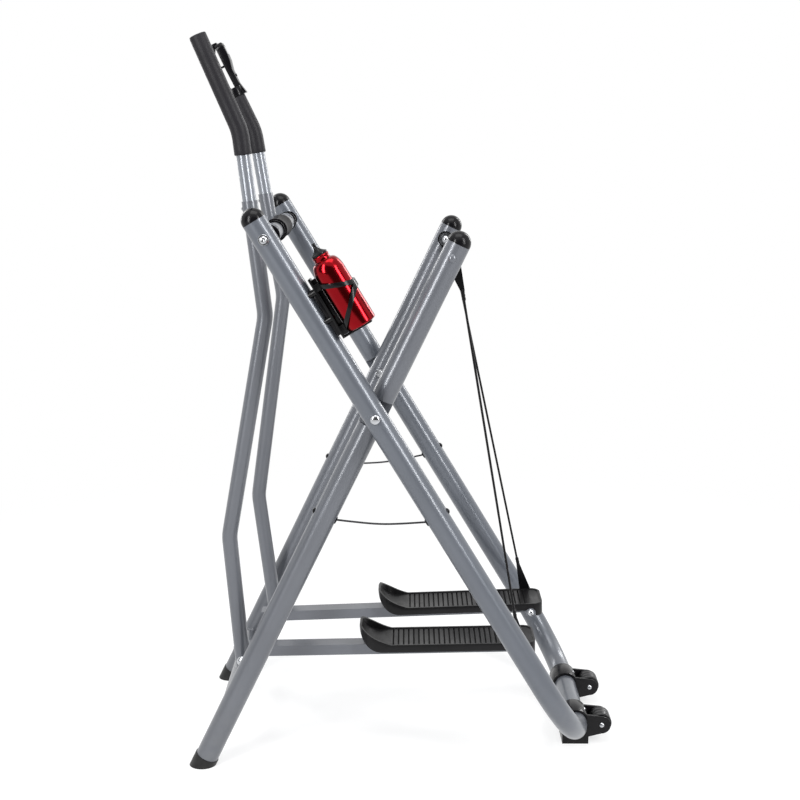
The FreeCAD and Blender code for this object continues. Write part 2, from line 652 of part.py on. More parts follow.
# Swinging arms, drawn about the axle and turned to each side's phase.
armRadius = size("armDiameter") / 2
handleRadius = size("handleDiameter") / 2
handleTop = Vector(size("handleTopX"), 0, size("handleTopRise"))
handleBend = Vector(size("handleBendX"), 0, size("handleBendRise"))
knee = Vector(size("armKneeX"), 0, -size("armKneeDrop"))
shin = Vector(size("armShinX"), 0, -size("armShinDrop"))
neckDirection = (handleBend - knee).normalize()
armTop = knee + neckDirection * ((size("armHubRise") + size("armKneeDrop")) / neckDirection.z)
socketEnd = armTop - neckDirection * size("handleSocket")
footDirection = (armFoot - shin).normalize()
armEnd = armFoot + footDirection * size("armTail")


def shifted(points, y):
    return [point + Vector(0, y, 0) for point in points]


def fitting(label, shapes, place):
    return feature(label, compound(shapes), place)


gripDirection = (handleTop - handleBend).normalize()
collarFloor = 3
tubeTops = {"left": handleTop, "right": handleTop - gripDirection * (size("meterSeat") + collarFloor)}
foamTops = {
    "left": handleTop + gripDirection * size("gripCap"),
    "right": handleTop - gripDirection * (size("meterSeat") + size("collarHeight")),
}

for name, side in SIDES:
    y = side * armCentre
    place = Placement(axle, turnY(-PHASES[name]))
    lowerPath = bentPath(shifted([armTop, knee, shin, armEnd], y), [size("armBend")] * 2)
    arm = pipe(lowerPath, armRadius)
    hubLow, hubHigh = side * size("hubInner"), side * size("hubOuter")
    hub = rodY(size("hubDiameter") / 2, 0, 0, hubLow, hubHigh)
    hubBore = size("hubDiameter") / 2 - size("hubWall")
    arm = arm.cut(pipe(lowerPath, armRadius - size("armWall")))
    arm = arm.fuse(hub.cut(pipe(lowerPath, armRadius - size("armWall"))))
    arm = arm.cut(rodY(hubBore, 0, 0, hubLow, hubHigh))
    pinHole = rodY(size("footPin") / 2, armFoot.x, armFoot.z, y - 2 * armRadius, y + 2 * armRadius)
    screwAt = armTop - neckDirection * size("jointScrewDrop") + Vector(0, y, 0)
    ahead = Vector(-neckDirection.z, 0, neckDirection.x)
    screwHole = rod(2.5, screwAt, screwAt + ahead * 2 * armRadius)
    feature("arm_" + name, arm.cut(pinHole).cut(screwHole).removeSplitter(), place)

    handlePath = bentPath(shifted([tubeTops[name], handleBend, socketEnd], y), [size("handleBend")])
    handle = tube(handlePath, handleRadius, size("handleWall")).cut(screwHole)
    feature("handle_" + name, handle, place)

    gripEnd = handleBend - neckDirection * size("gripBelowBend")
    gripPath = bentPath(shifted([foamTops[name], handleBend, gripEnd], y), [size("handleBend")])
    grip = pipe(gripPath, size("gripDiameter") / 2).cut(pipe(handlePath, handleRadius))
    feature("grip_" + name, grip, place)

    headSeat = screwAt + ahead * armRadius
    screw = dome(size("jointScrew") / 2, 3, headSeat - ahead * 0.3, ahead)
    screw = screw.cut(pipe(lowerPath, armRadius + play))
    shank = rod(2.5, headSeat - ahead * 7, headSeat + ahead)
    feature("joint_screw_" + name, screw.fuse(shank).removeSplitter(), place)

    bushings = []
    for end, outward in ((hubHigh, side), (hubLow, -side)):
        flange = rodY(size("bushFlange") / 2, 0, 0, end, end + outward * size("bushFlangeThick"))
        sleeve = rodY(hubBore, 0, 0, end, end - outward * size("bushLength"))
        bore = rodY(boreRadius + play, 0, 0, end - outward * 100, end + outward * 100)
        clearance = pipe(lowerPath, armRadius + 0.2)
        bushings.append(flange.fuse(sleeve).cut(bore).cut(clearance).removeSplitter())
    fitting("hub_bushings_" + name, bushings, place)

    outerFace = side * (armCentre + armRadius)
    innerFace = side * (barCentre - size("barWidth") / 2 - sidePlay)
    pin = rodY(size("footPin") / 2, armFoot.x, armFoot.z, outerFace, innerFace)
    pinHead = dome(size("footPinHead") / 2, 7, Vector(armFoot.x, outerFace, armFoot.z), Vector(0, side, 0))
    pinNut = dome(size("footPinHead") / 2, 7, Vector(armFoot.x, innerFace, armFoot.z), Vector(0, -side, 0))
    feature("arm_pin_" + name, pin.fuse([pinHead, pinNut]).removeSplitter(), place)

# Meter on the right grip: a slim body on the user's side, an open arched guard ahead of it,
# and a collar that both stand on. Drawn from the handle's top line, up along the grip.
meterPlace = Placement(axle, turnY(-PHASES["right"]))
meterTurn = math.degrees(math.atan2(gripDirection.x, gripDirection.z))
gripPlace = Placement(handleTop + Vector(0, armCentre, 0), turnY(meterTurn))
seat = -size("meterSeat")
top = size("meterRise")
front, back, slim = size("meterFront"), size("meterBack"), size("meterSlim")
displayEnd = top - size("meterDisplay")


def prismY(points, halfWidth):
    outline = [Vector(x, 0, z) for x, z in points]
    return plateY(Part.makePolygon(outline + outline[:1]), -halfWidth, halfWidth)


def roundAlong(shape, axis, centres, radius):
    # Rounds the edges that run along an axis and pass near one of these places.
    edges = []
    for edge in shape.Edges:
        near = any((edge.CenterOfMass - centre).Length < 0.5 for centre in centres)
        if near and abs(edge.tangentAt(edge.FirstParameter).dot(axis)) > 0.99:
            edges.append(edge)
    return shape.makeFillet(radius, edges)


side = prismY(
    [
        (front, seat), (front, top - 3), (front + 3, top), (back - 2.5, top), (back, top - 2.5),
        (back + 1, displayEnd + 15), (back, displayEnd), (slim, displayEnd - 20), (slim, seat),
    ],
    size("meterWidth"),
)
half, foot = size("meterWidth") / 2, size("meterFoot") / 2
shoulder = seat + 3 * foot
facePoints = [(-foot, seat), (-half, shoulder), (-half, top), (half, top), (half, shoulder), (foot, seat)]
faceOutline = [Vector(0, y, z) for y, z in facePoints]
face = Part.Face(Part.makePolygon(faceOutline + faceOutline[:1])).extrude(Vector(2 * back, 0, 0))
cornerPlaces = [Vector(back, sign * half, top) for sign in (-1, 1)]
face = roundAlong(face, Vector(1, 0, 0), cornerPlaces, half * 0.6)
pod = side.common(face)
knobPlace = Vector(slim - 1, 0, -size("knobDown"))
pod = pod.fuse(rod(3, knobPlace, knobPlace + Vector(3.5, 0, 0))).removeSplitter()

gripRadius = size("gripDiameter") / 2
collarRadius = gripRadius + size("collarLip")
collarLow = seat - size("collarHeight")
collar = Part.makeCylinder(collarRadius, size("collarHeight"), Vector(0, 0, collarLow))
lug = prismY(
    [(slim - 3, seat + 6), (slim, seat + 6), (collarRadius + 5.5, collarLow), (slim - 3, collarLow)],
    size("meterFoot") / 2,
)
thick = size("guardThick")
bow = -size("guardBow")
guardMiddle = (seat + top) / 2 + 6
guardEdges = [
    Part.Arc(Vector(-7, 0, seat), Vector(bow, 0, guardMiddle), Vector(0, 0, top + 4)).toShape(),
    Part.LineSegment(Vector(0, 0, top + 4), Vector(front + 6, 0, top + thick)).toShape(),
    Part.LineSegment(Vector(front + 6, 0, top + thick), Vector(front + 6, 0, top)).toShape(),
    Part.LineSegment(Vector(front + 6, 0, top), Vector(front, 0, top - 4)).toShape(),
    Part.Arc(
        Vector(front, 0, top - 4), Vector(bow + thick, 0, guardMiddle), Vector(thick - 7, 0, seat)
    ).toShape(),
    Part.LineSegment(Vector(thick - 7, 0, seat), Vector(-7, 0, seat)).toShape(),
]
guardHalf = size("guardWidth") / 2
guard = plateY(Part.Wire(guardEdges), -guardHalf, guardHalf)
strutAt = -size("guardStrut")
strut = boxBetween(bow + thick / 2, front, -guardHalf / 2, guardHalf / 2, strutAt - 2, strutAt + 2)
clamp = collar.fuse([lug, guard, strut])
tubeRoom = Part.makeCylinder(handleRadius, size("collarHeight"), Vector(0, 0, collarLow - collarFloor))
clamp = clamp.cut(tubeRoom).cut(pod).removeSplitter()
for shape in (clamp, pod):
    shape.Placement = gripPlace
feature("meter_clamp", clamp, meterPlace)
feature("meter_pod", pod, meterPlace)


# Pedal bars and foot plates, drawn from the pedal pivot along the bar.
def planPrism(front, back, width, frontRadius, backRadius, low, high):
    x0, x1 = front, back
    half = width / 2
    corners = [
        (Vector(x0, -half + frontRadius, 0), Vector(x0, half - frontRadius, 0)),
        (Vector(x0 + frontRadius, half, 0), Vector(x1 - backRadius, half, 0)),
        (Vector(x1, half - backRadius, 0), Vector(x1, -half + backRadius, 0)),
        (Vector(x1 - backRadius, -half, 0), Vector(x0 + frontRadius, -half, 0)),
    ]
    centres = [
        (Vector(x0 + frontRadius, half - frontRadius, 0), frontRadius, Vector(-1, 1, 0)),
        (Vector(x1 - backRadius, half - backRadius, 0), backRadius, Vector(1, 1, 0)),
        (Vector(x1 - backRadius, -half + backRadius, 0), backRadius, Vector(1, -1, 0)),
        (Vector(x0 + frontRadius, -half + frontRadius, 0), frontRadius, Vector(-1, -1, 0)),
    ]
    edges = []
    for index, (start, end) in enumerate(corners):
        edges.append(Part.LineSegment(start, end).toShape())
        centrePoint, radius, outward = centres[index]
        middle = centrePoint + outward.normalize() * radius
        following = corners[(index + 1) % 4][0]
        edges.append(Part.Arc(end, middle, following).toShape())
    face = Part.Face(Part.Wire(edges))
    face.translate(Vector(0, 0, low))
    return face.extrude(Vector(0, 0, high - low))


barTop = size("barHeight") / 2
plateLow = barTop - size("plateSkirt")
rimHigh = plateLow + size("plateSide")
treadHigh = barTop + size("plateTread")
toeX = size("plateToe")
heelX = size("barLength") + size("plateHeel")
toeRadius = size("toeRadius")
toeStart = toeX + toeRadius
toeHigh = plateLow + toeRadius


def plateOuter():
    bottomArc = Part.Arc(
        Vector(toeStart, 0, plateLow),
        Vector(toeStart - toeRadius * math.sqrt(0.5), 0, toeHigh - toeRadius * math.sqrt(0.5)),
        Vector(toeX, 0, toeHigh),
    ).toShape()
    rimArc = Part.Arc(
        Vector(toeX + 4, 0, toeHigh + 1),
        Vector(toeX + 32, 0, rimHigh + 15),
        Vector(toeStart + 17, 0, rimHigh),
    ).toShape()
    lines = [
        Part.LineSegment(Vector(heelX, 0, plateLow), Vector(toeStart, 0, plateLow)).toShape(),
        bottomArc,
        Part.LineSegment(Vector(toeX, 0, toeHigh), Vector(toeX + 4, 0, toeHigh + 1)).toShape(),
        rimArc,
        Part.LineSegment(Vector(toeStart + 17, 0, rimHigh), Vector(heelX, 0, rimHigh)).toShape(),
        Part.LineSegment(Vector(heelX, 0, rimHigh), Vector(heelX, 0, plateLow)).toShape(),
    ]
    return plateY(Part.Wire(lines), -size("plateWidth") / 2, size("plateWidth") / 2)


def plateHollow():
    wall = size("plateRim")
    innerDrop = (toeHigh - treadHigh) * math.sqrt(0.5)
    innerArc = Part.Arc(
        Vector(toeStart, 0, treadHigh),
        Vector(toeStart - (toeRadius - wall) * math.sqrt(0.5), 0, toeHigh - innerDrop),
        Vector(toeX + wall, 0, toeHigh),
    ).toShape()
    above = toeHigh + 30
    lines = [
        Part.LineSegment(Vector(heelX - wall, 0, treadHigh), Vector(toeStart, 0, treadHigh)).toShape(),
        innerArc,
        Part.LineSegment(Vector(toeX + wall, 0, toeHigh), Vector(toeX + wall, 0, above)).toShape(),
        Part.LineSegment(Vector(toeX + wall, 0, above), Vector(heelX - wall, 0, above)).toShape(),
        Part.LineSegment(Vector(heelX - wall, 0, above), Vector(heelX - wall, 0, treadHigh)).toShape(),
    ]
    return plateY(Part.Wire(lines), -size("plateWidth") / 2, size("plateWidth") / 2)


def footPlate():
    width = size("plateWidth")
    wall = size("plateRim")
    outline = planPrism(toeX, heelX, width, size("toeCorner"), size("heelCorner"), -60, toeHigh + 10)
    body = plateOuter().common(outline)
    heelBlock = boxBetween(heelX - 17, heelX, -width / 2, width / 2, -barTop + 4, rimHigh).common(outline)
    body = body.fuse(heelBlock)
    innerPlan = planPrism(
        toeX + wall, heelX - wall, width - 2 * wall,
        size("toeCorner") - wall, size("heelCorner") - wall, -60, toeHigh + 40,
    )
    body = body.cut(plateHollow().common(innerPlan))
    channel = size("barWidth") / 2 + 0.3
    body = body.cut(boxBetween(-100, heelX - 4, -channel, channel, -100, barTop))
    heelRod = size("heelTube") / 2 + 0.5
    body = body.cut(rodY(heelRod, size("barLength"), 0, -width, width))
    notch = boxBetween(size("barLength") - heelRod, size("barLength") + heelRod, -width, width, -100, 0)
    body = body.cut(notch)
    slots = []
    firstSlot = toeStart + 20
    for index in range(int(size("slotCount"))):
        left = firstSlot + index * size("slotPitch")
        if left + size("slotWidth") < heelX - wall - 6:
            slots.append(
                boxBetween(
                    left, left + size("slotWidth"), -width / 2 + wall + 3, width / 2 - wall - 3,
                    treadHigh - size("slotDepth"), treadHigh + 1,
                )
            )
    return body.cut(compound(slots)).removeSplitter()


def hullPlate(radiusA, radiusB, length, y0, y1):
    # A flat link: a round at the origin, a smaller one above it and the tangent web between.
    lean = math.asin((radiusA - radiusB) / length)
    points = [
        Vector(radiusA * math.cos(lean), 0, radiusA * math.sin(lean)),
        Vector(radiusB * math.cos(lean), 0, length + radiusB * math.sin(lean)),
        Vector(-radiusB * math.cos(lean), 0, length + radiusB * math.sin(lean)),
        Vector(-radiusA * math.cos(lean), 0, radiusA * math.sin(lean)),
    ]
    web = plateY(Part.makePolygon(points + points[:1]), y0, y1)
    return web.fuse([rodY(radiusA, 0, 0, y0, y1), rodY(radiusB, 0, length, y0, y1)]).removeSplitter()


cableBolts = []
hangerPlane = frontInner - size("bossStand") - sidePlay - size("hangerThick") / 2
for name, side in SIDES:
    first, second, barAngle, linkAngle = linkage(PHASES[name])
    barPlace = Placement(first, turnY(-barAngle))
    y = side * barCentre
    nose, tail = -size("barNose"), size("barLength") + size("barTail")
    halfBar = size("barWidth") / 2
    wall = size("barWall")
    bar = boxBetween(nose, tail, y - halfBar, y + halfBar, -barTop, barTop)
    hollow = boxBetween(
        nose + wall, tail - wall, y - halfBar + wall, y + halfBar - wall, -barTop + wall, barTop - wall
    )
    bar = bar.cut(hollow)
    outerFace = side * (armCentre - armRadius - sidePlay)
    sleeve = rodY(size("sleeveDiameter") / 2, 0, 0, y - side * halfBar, outerFace)
    plateOuterY = side * (barCentre + size("plateWidth") / 2)
    plateInnerY = side * (barCentre - size("plateWidth") / 2)
    heelTube = rodY(size("heelTube") / 2, size("barLength"), 0, plateInnerY, plateOuterY)
    bar = bar.fuse([sleeve.common(boxBetween(-40, 40, y - halfBar, outerFace, -40, 40)), heelTube])
    bar = bar.cut(rodY(size("footPin") / 2 + play, 0, 0, 0, side * cornerY))
    bar = bar.cut(rodY(size("heelPin") / 2, size("barLength"), 0, 0, side * cornerY))
    feature("pedal_bar_" + name, bar.removeSplitter(), barPlace)

    plate = footPlate()
    plate.translate(Vector(0, y, 0))
    feature("foot_plate_" + name, plate, barPlace)

    bracketIn = plateOuterY + side * sidePlay
    bracketOut = bracketIn + side * size("bracketThick")
    pinEnd = bracketOut + side * sidePlay
    heelPin = rodY(size("heelPin") / 2, size("barLength"), 0, plateInnerY, pinEnd)
    innerHead = dome(
        size("heelPinHead") / 2, 5, Vector(size("barLength"), plateInnerY, 0), Vector(0, -side, 0)
    )
    outerHead = dome(size("heelPinHead") / 2, 5, Vector(size("barLength"), pinEnd, 0), Vector(0, side, 0))
    feature("heel_pin_" + name, heelPin.fuse([innerHead, outerHead]).removeSplitter(), barPlace)

    # The cable link hangs from the front leg and carries the heel, drawn from the heel pivot up.
    linkPlace = Placement(second, turnY(linkAngle))
    bracket = hullPlate(size("bracketFoot"), size("linkTip"), size("bracketLength"), bracketIn, bracketOut)
    bracket = bracket.cut(rodY(size("heelPin") / 2 + play, 0, 0, 0, side * cornerY))
    bracketMiddle = (bracketIn + bracketOut) / 2
    hangerMiddle = side * hangerPlane
    bracketTurn = math.degrees(math.asin(size("bracketLean") / size("bracketLength")))
    hangerTurn = math.degrees(math.asin(size("hangerLean") / size("hangerLength")))
    bracket.rotate(Vector(), Y_AXIS, bracketTurn)
    hangerDrop = size("hangerLength") * math.cos(math.radians(hangerTurn))
    bracketRise = size("bracketLength") * math.cos(math.radians(bracketTurn))
    lowEnd = Vector(size("bracketLean"), bracketMiddle, bracketRise)
    highEnd = Vector(size("hangerLean"), hangerMiddle, size("linkLength") - hangerDrop)
    cable = rod(size("cableDiameter") / 2, lowEnd, highEnd)
    halfHanger = size("hangerThick") / 2
    hanger = hullPlate(
        size("hangerEye"), size("linkTip"), size("hangerLength"),
        hangerMiddle - halfHanger, hangerMiddle + halfHanger,
    )
    eye = rodY(size("bossPin") / 2, 0, 0, 0, side * cornerY)
    hanger = hanger.cut(eye)
    hanger.rotate(Vector(), Y_AXIS, 180 - hangerTurn)
    hanger.translate(Vector(0, 0, size("linkLength")))
    feature("heel_bracket_" + name, bracket.cut(cable), linkPlace)
    feature("cable_" + name, cable, linkPlace)
    feature("cable_hanger_" + name, hanger.cut(cable), linkPlace)

    # Boss on the front leg's inner side, and the bolt through leg, boss and hanger.
    up = size("cableUp")
    bossEnd = side * (frontInner - size("bossStand"))
    boss = rodY(size("bossDiameter") / 2, 0, up, bossEnd, side * (frontInner + 14))
    legFoot = Vector(0, side * size("frontHalfWidth"), up - 2 * tubeRadius)
    legSolid = Part.makeCylinder(tubeRadius, 4 * tubeRadius, legFoot)
    boss = boss.cut(legSolid).cut(rodY(size("bossPin") / 2, 0, up, 0, side * cornerY))
    feature("cable_boss_" + name, boss, frontPlace)
    outerHead = dome(size("bossHead") / 2, 3.5, Vector(0, side * frontOuter, up), Vector(0, side, 0))
    shank = rodY(size("bossPin") / 2, 0, up, side * frontOuter, bossEnd)
    cableBolts.append(shank.fuse(outerHead).removeSplitter())
    hangerIn = hangerMiddle - side * halfHanger
    hangerOut = hangerMiddle + side * halfHanger
    washerEnd = hangerIn - side * 2.5
    pin = rodY(size("bossPin") / 2, 0, size("linkLength"), hangerOut, washerEnd)
    washer = rodY(size("bossWasher") / 2, 0, size("linkLength"), hangerIn, washerEnd)
    head = dome(size("bossHead") / 2, 4.5, Vector(0, washerEnd, size("linkLength")), Vector(0, -side, 0))
    feature("hanger_pin_" + name, pin.fuse([washer, head]).removeSplitter(), linkPlace)
feature("cable_bolts", compound(cableBolts), frontPlace)

# Bottle on the left rear leg, drawn along its own axis.
bottleRadius = size("bottleDiameter") / 2
neckRadius = size("bottleNeck") / 2
bottleY = -(size("rearHalfWidth") + size("bottleOffset"))
bottleBase = Vector(size("bottleStand"), bottleY, size("bottleUp"))
bottlePlace = rearPlace.multiply(Placement(bottleBase, Rotation()))
bodyTop = size("bottleBody")
shoulderTop = bodyTop + size("bottleShoulder")
neckTop = shoulderTop + size("bottleNeckHeight")


def bottleOutline(inset):
    radius, neck = bottleRadius - inset, neckRadius - inset
    start, foot = inset, 4
    low = Vector(0, 0, start)
    edges = [
        Part.LineSegment(low, Vector(radius - foot, 0, start)).toShape(),
        Part.Arc(
            Vector(radius - foot, 0, start),
            Vector(radius - foot * (1 - math.sqrt(0.5)), 0, start + foot * (1 - math.sqrt(0.5))),
            Vector(radius, 0, start + foot),
        ).toShape(),
        Part.LineSegment(Vector(radius, 0, start + foot), Vector(radius, 0, bodyTop)).toShape(),
        Part.Arc(
            Vector(radius, 0, bodyTop),
            Vector(neck + (radius - neck) * 0.78, 0, bodyTop + (shoulderTop - bodyTop) * 0.72),
            Vector(neck, 0, shoulderTop),
        ).toShape(),
        Part.LineSegment(Vector(neck, 0, shoulderTop), Vector(neck, 0, neckTop)).toShape(),
        Part.LineSegment(Vector(neck, 0, neckTop), Vector(0, 0, neckTop)).toShape(),
        Part.LineSegment(Vector(0, 0, neckTop), low).toShape(),
    ]
    return Part.Face(Part.Wire(edges)).revolve(Vector(), Z_AXIS, 360)


bottle = bottleOutline(0).cut(bottleOutline(size("bottleWall")))
mouth = Part.makeCylinder(neckRadius - size("bottleWall"), 10, Vector(0, 0, neckTop - 5))
feature("bottle", bottle.cut(mouth).removeSplitter(), bottlePlace)

plugRadius = neckRadius - size("bottleWall") - play
stopperTop = neckTop + size("stopperHeight")
stopperEdges = [
    Part.LineSegment(Vector(0, 0, neckTop - 8), Vector(plugRadius, 0, neckTop - 8)).toShape(),
    Part.LineSegment(Vector(plugRadius, 0, neckTop - 8), Vector(plugRadius, 0, neckTop)).toShape(),
    Part.LineSegment(Vector(plugRadius, 0, neckTop), Vector(neckRadius, 0, neckTop)).toShape(),
    Part.LineSegment(Vector(neckRadius, 0, neckTop), Vector(neckRadius, 0, neckTop + 4)).toShape(),
    Part.Arc(
        Vector(neckRadius, 0, neckTop + 4), Vector(6.5, 0, neckTop + 13), Vector(3.2, 0, stopperTop - 3)
    ).toShape(),
    Part.LineSegment(Vector(3.2, 0, stopperTop - 3), Vector(3.2, 0, stopperTop)).toShape(),
    Part.LineSegment(Vector(3.2, 0, stopperTop), Vector(0, 0, stopperTop)).toShape(),
    Part.LineSegment(Vector(0, 0, stopperTop), Vector(0, 0, neckTop - 8)).toShape(),
]
stopper = Part.Face(Part.Wire(stopperEdges)).revolve(Vector(), Z_AXIS, 360)
feature("bottle_stopper", stopper, bottlePlace)

# Cage: a back plate on the leg, strips that hug the bottle and a tongue under its base.
cageInner = bottleRadius + size("cageGap")
cageOuter = cageInner + size("cageWall")
plateBack = -size("bottleStand") + tubeRadius + 7
platePlane = plateBack + size("cagePlateThick")
plateHalf = size("cagePlateWidth") / 2
shell = Part.makeCylinder(cageOuter, bodyTop + 20, Vector(0, 0, -6)).cut(
    Part.makeCylinder(cageInner, bodyTop + 40, Vector(0, 0, -16))
)
stripHalf = size("cageStrip") / 2


def slantStrip(start, end):
    direction = (end - start).normalize()
    normal = Vector(-direction.z, 0, direction.x) * stripHalf
    corners = [start + normal, end + normal, end - normal, start - normal]
    return plateY(Part.makePolygon(corners + corners[:1]), -2 * cageOuter, 2 * cageOuter)


backTop = Vector(-cageOuter - 2, 0, 106)
frontFold = Vector(cageOuter + 2, 0, 78)
backLow = Vector(-cageOuter - 2, 0, 8)
strips = shell.common(slantStrip(backTop, frontFold).fuse(slantStrip(frontFold, backLow)))
backPlate = boxBetween(plateBack, platePlane, -plateHalf, plateHalf, 2, bodyTop + 10)
link = boxBetween(plateBack, -cageInner + 3, -plateHalf, plateHalf, 2, 20)
upperLink = boxBetween(plateBack, -cageInner + 3, -plateHalf, plateHalf, 98, 112)
tongue = boxBetween(plateBack, cageOuter - 14, -plateHalf, plateHalf, -4, -0.5)
riser = boxBetween(plateBack, platePlane, -plateHalf, plateHalf, -4, 4)
lip = boxBetween(cageOuter - 17, cageOuter - 14, -plateHalf, plateHalf, -4, -0.5)
inside = Part.makeCylinder(cageInner, bodyTop + 40, Vector(0, 0, -0.5))
standoffs = []
cageScrews = []
legLine = -size("bottleStand")
offsetY = size("bottleOffset")
for height in (40, 99):
    standoffs.append(
        Part.makeCylinder(7, plateBack - legLine - 15, Vector(legLine + 15, 0, height), Vector(1, 0, 0))
    )
    cageScrews.append(dome(5.5, 3.5, Vector(platePlane, 0, height), Vector(1, 0, 0)))
cage = strips.fuse([backPlate, link, upperLink, tongue, riser, lip] + standoffs).cut(inside)
cage = cage.cut(Part.makeCylinder(tubeRadius, 4 * bodyTop, Vector(legLine, offsetY, -bodyTop)))
cage = max(cage.removeSplitter().Solids, key=lambda solid: solid.Volume)
cage = cage.fuse([screw.cut(inside) for screw in cageScrews]).removeSplitter()
feature("bottle_cage", cage, bottlePlace)

doc.recompute()
faults = []
for obj in doc.Objects:
    if "Invalid" in obj.State or "Error" in obj.State:
        faults.append(f"{obj.Name}: {obj.State}")
for obj in subparts:
    shape = obj.Shape
    if shape.isNull() or not shape.isValid() or not shape.Solids:
        faults.append(f"{obj.Label}: shape is null, invalid or has no solid")
if faults:
    raise RuntimeError("\n".join(faults))

os.makedirs("parts", exist_ok=True)
for obj in subparts:
    obj.Shape.exportStep(os.path.join("parts", obj.Label + ".step"))

box = FreeCAD.BoundBox()
for obj in subparts:
    box.add(obj.Shape.BoundBox)
print(f"{len(subparts)} sub-parts")
for axisName in "XYZ":
    print(axisName, round(getattr(box, axisName + "Min"), 1), round(getattr(box, axisName + "Max"), 1))
for name in PHASES:
    first, second, barAngle, linkAngle = linkage(PHASES[name])
    print(name, "pedal pivot", first, "heel pivot", second)
    print(name, "bar", round(barAngle, 3), "link", round(linkAngle, 3))
print("axle", axle, "cable pivot", cablePivot, "wheel", wheelAxis)
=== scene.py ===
import json
import math

import bmesh
import bpy
from mathutils import Matrix, Vector
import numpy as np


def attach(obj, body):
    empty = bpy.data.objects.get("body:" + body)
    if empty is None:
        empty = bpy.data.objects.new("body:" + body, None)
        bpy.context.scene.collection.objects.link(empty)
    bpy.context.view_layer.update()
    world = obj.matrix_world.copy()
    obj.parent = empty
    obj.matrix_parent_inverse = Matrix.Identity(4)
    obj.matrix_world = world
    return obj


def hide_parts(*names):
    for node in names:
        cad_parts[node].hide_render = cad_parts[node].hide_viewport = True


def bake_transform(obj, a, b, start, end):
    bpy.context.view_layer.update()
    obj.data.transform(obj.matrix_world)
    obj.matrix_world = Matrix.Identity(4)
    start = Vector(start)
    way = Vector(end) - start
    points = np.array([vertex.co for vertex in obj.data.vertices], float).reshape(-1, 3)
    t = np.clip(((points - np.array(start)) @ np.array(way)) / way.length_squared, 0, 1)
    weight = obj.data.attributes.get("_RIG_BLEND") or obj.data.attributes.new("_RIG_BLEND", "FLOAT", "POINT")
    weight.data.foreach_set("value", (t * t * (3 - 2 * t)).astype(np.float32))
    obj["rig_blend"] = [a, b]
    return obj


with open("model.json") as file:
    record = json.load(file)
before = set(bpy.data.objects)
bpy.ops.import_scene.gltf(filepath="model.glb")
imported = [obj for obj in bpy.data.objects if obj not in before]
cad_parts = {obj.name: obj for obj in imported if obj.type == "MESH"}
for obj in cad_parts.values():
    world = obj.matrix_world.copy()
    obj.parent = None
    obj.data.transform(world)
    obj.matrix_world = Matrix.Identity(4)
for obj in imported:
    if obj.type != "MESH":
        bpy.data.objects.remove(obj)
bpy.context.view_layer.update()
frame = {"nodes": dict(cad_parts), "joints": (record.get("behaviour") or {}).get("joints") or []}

# A folding air walker. Metres. The user faces -X, the floor is z = 0, the camera looks along +Y.
scene = bpy.context.scene
scene.view_settings.view_transform = "Standard"
joints = {joint["name"]: joint for joint in frame["joints"]}
pivot = Vector(joints["frame_fold"]["pos_m"])
axle = Vector(joints["left_swing"]["pos_m"])
sides = (("Left", "left", -1), ("Right", "right", 1))
sideways = Vector((0, 1, 0))
upright = Vector((0, 0, 1))


def turned(degrees):
    # Turns about Y, from +Z towards +X.
    return Matrix.Rotation(math.radians(degrees), 4, "Y")


frameSpec = {
    "rear": {"lean": -31.05, "halfWidth": 0.272, "body": "rear_frame"},
    "front": {"lean": 25.8, "halfWidth": 0.223, "body": "front_frame"},
    "tubeRadius": 0.024,
}
framePlaces = {key: Matrix.Translation(pivot) @ turned(frameSpec[key]["lean"]) for key in ("rear", "front")}

# Each arm turns on the axle with a hub tube. At rest the right arm is a little ahead at its top.
armSpec = {"hubOffset": 0.160, "lean": {"left": 0.0, "right": -2.33}}
hubPlaces = {}
for title, side, sign in sides:
    hubShift = Matrix.Translation((0, sign * armSpec["hubOffset"], 0))
    hubPlaces[side] = Matrix.Translation(axle) @ turned(armSpec["lean"][side]) @ hubShift

# Camera
cameraFit = {
    "place": (-0.00006, -2.7657, 1.3244), "yaw": -0.005, "pitch": 0.208, "lens": 58.70, "sensor": 36,
}
cameraData = bpy.data.cameras.new("camera")
cameraData.lens = cameraFit["lens"]
cameraData.sensor_width = cameraFit["sensor"]
camera = bpy.data.objects.new("camera", cameraData)
camera.location = cameraFit["place"]
camera.rotation_euler = (math.pi / 2 - cameraFit["pitch"], 0, -cameraFit["yaw"])
scene.collection.objects.link(camera)
scene.camera = camera
print("camera placed")


# Shader tools
def addNode(tree, kind, values=None, **settings):
    node = tree.nodes.new("ShaderNode" + kind)
    for name, value in settings.items():
        setattr(node, name, value)
    for socket, value in (values or {}).items():
        if isinstance(value, bpy.types.NodeSocket):
            tree.links.new(value, node.inputs[socket])
        else:
            node.inputs[socket].default_value = value
    return node


def calculate(tree, operation, *values):
    return addNode(tree, "Math", dict(enumerate(values)), operation=operation).outputs[0]


def multiply(tree, first, second):
    return calculate(tree, "MULTIPLY", first, second)


def mixColor(tree, factor, first, second):
    # Sockets 0, 6 and 7 are the factor and the two colours, and output 2 is the mixed colour.
    return addNode(tree, "Mix", {0: factor, 6: first, 7: second}, data_type="RGBA").outputs[2]


def mapRange(tree, value, low, high, toLow, toHigh, smooth=False):
    sockets = {0: value, 1: low, 2: high, 3: toLow, 4: toHigh}
    kind = "SMOOTHSTEP" if smooth else "LINEAR"
    return addNode(tree, "MapRange", sockets, interpolation_type=kind).outputs[0]


def objectPoint(tree):
    return addNode(tree, "TexCoord").outputs["Object"]


def attribute(tree, name):
    return addNode(tree, "Attribute", attribute_name=name).outputs["Fac"]


def noise(tree, scale, detail, more=None):
    sockets = {"Vector": objectPoint(tree), "Scale": scale, "Detail": detail}
    return addNode(tree, "TexNoise", {**sockets, **(more or {})}).outputs[0]


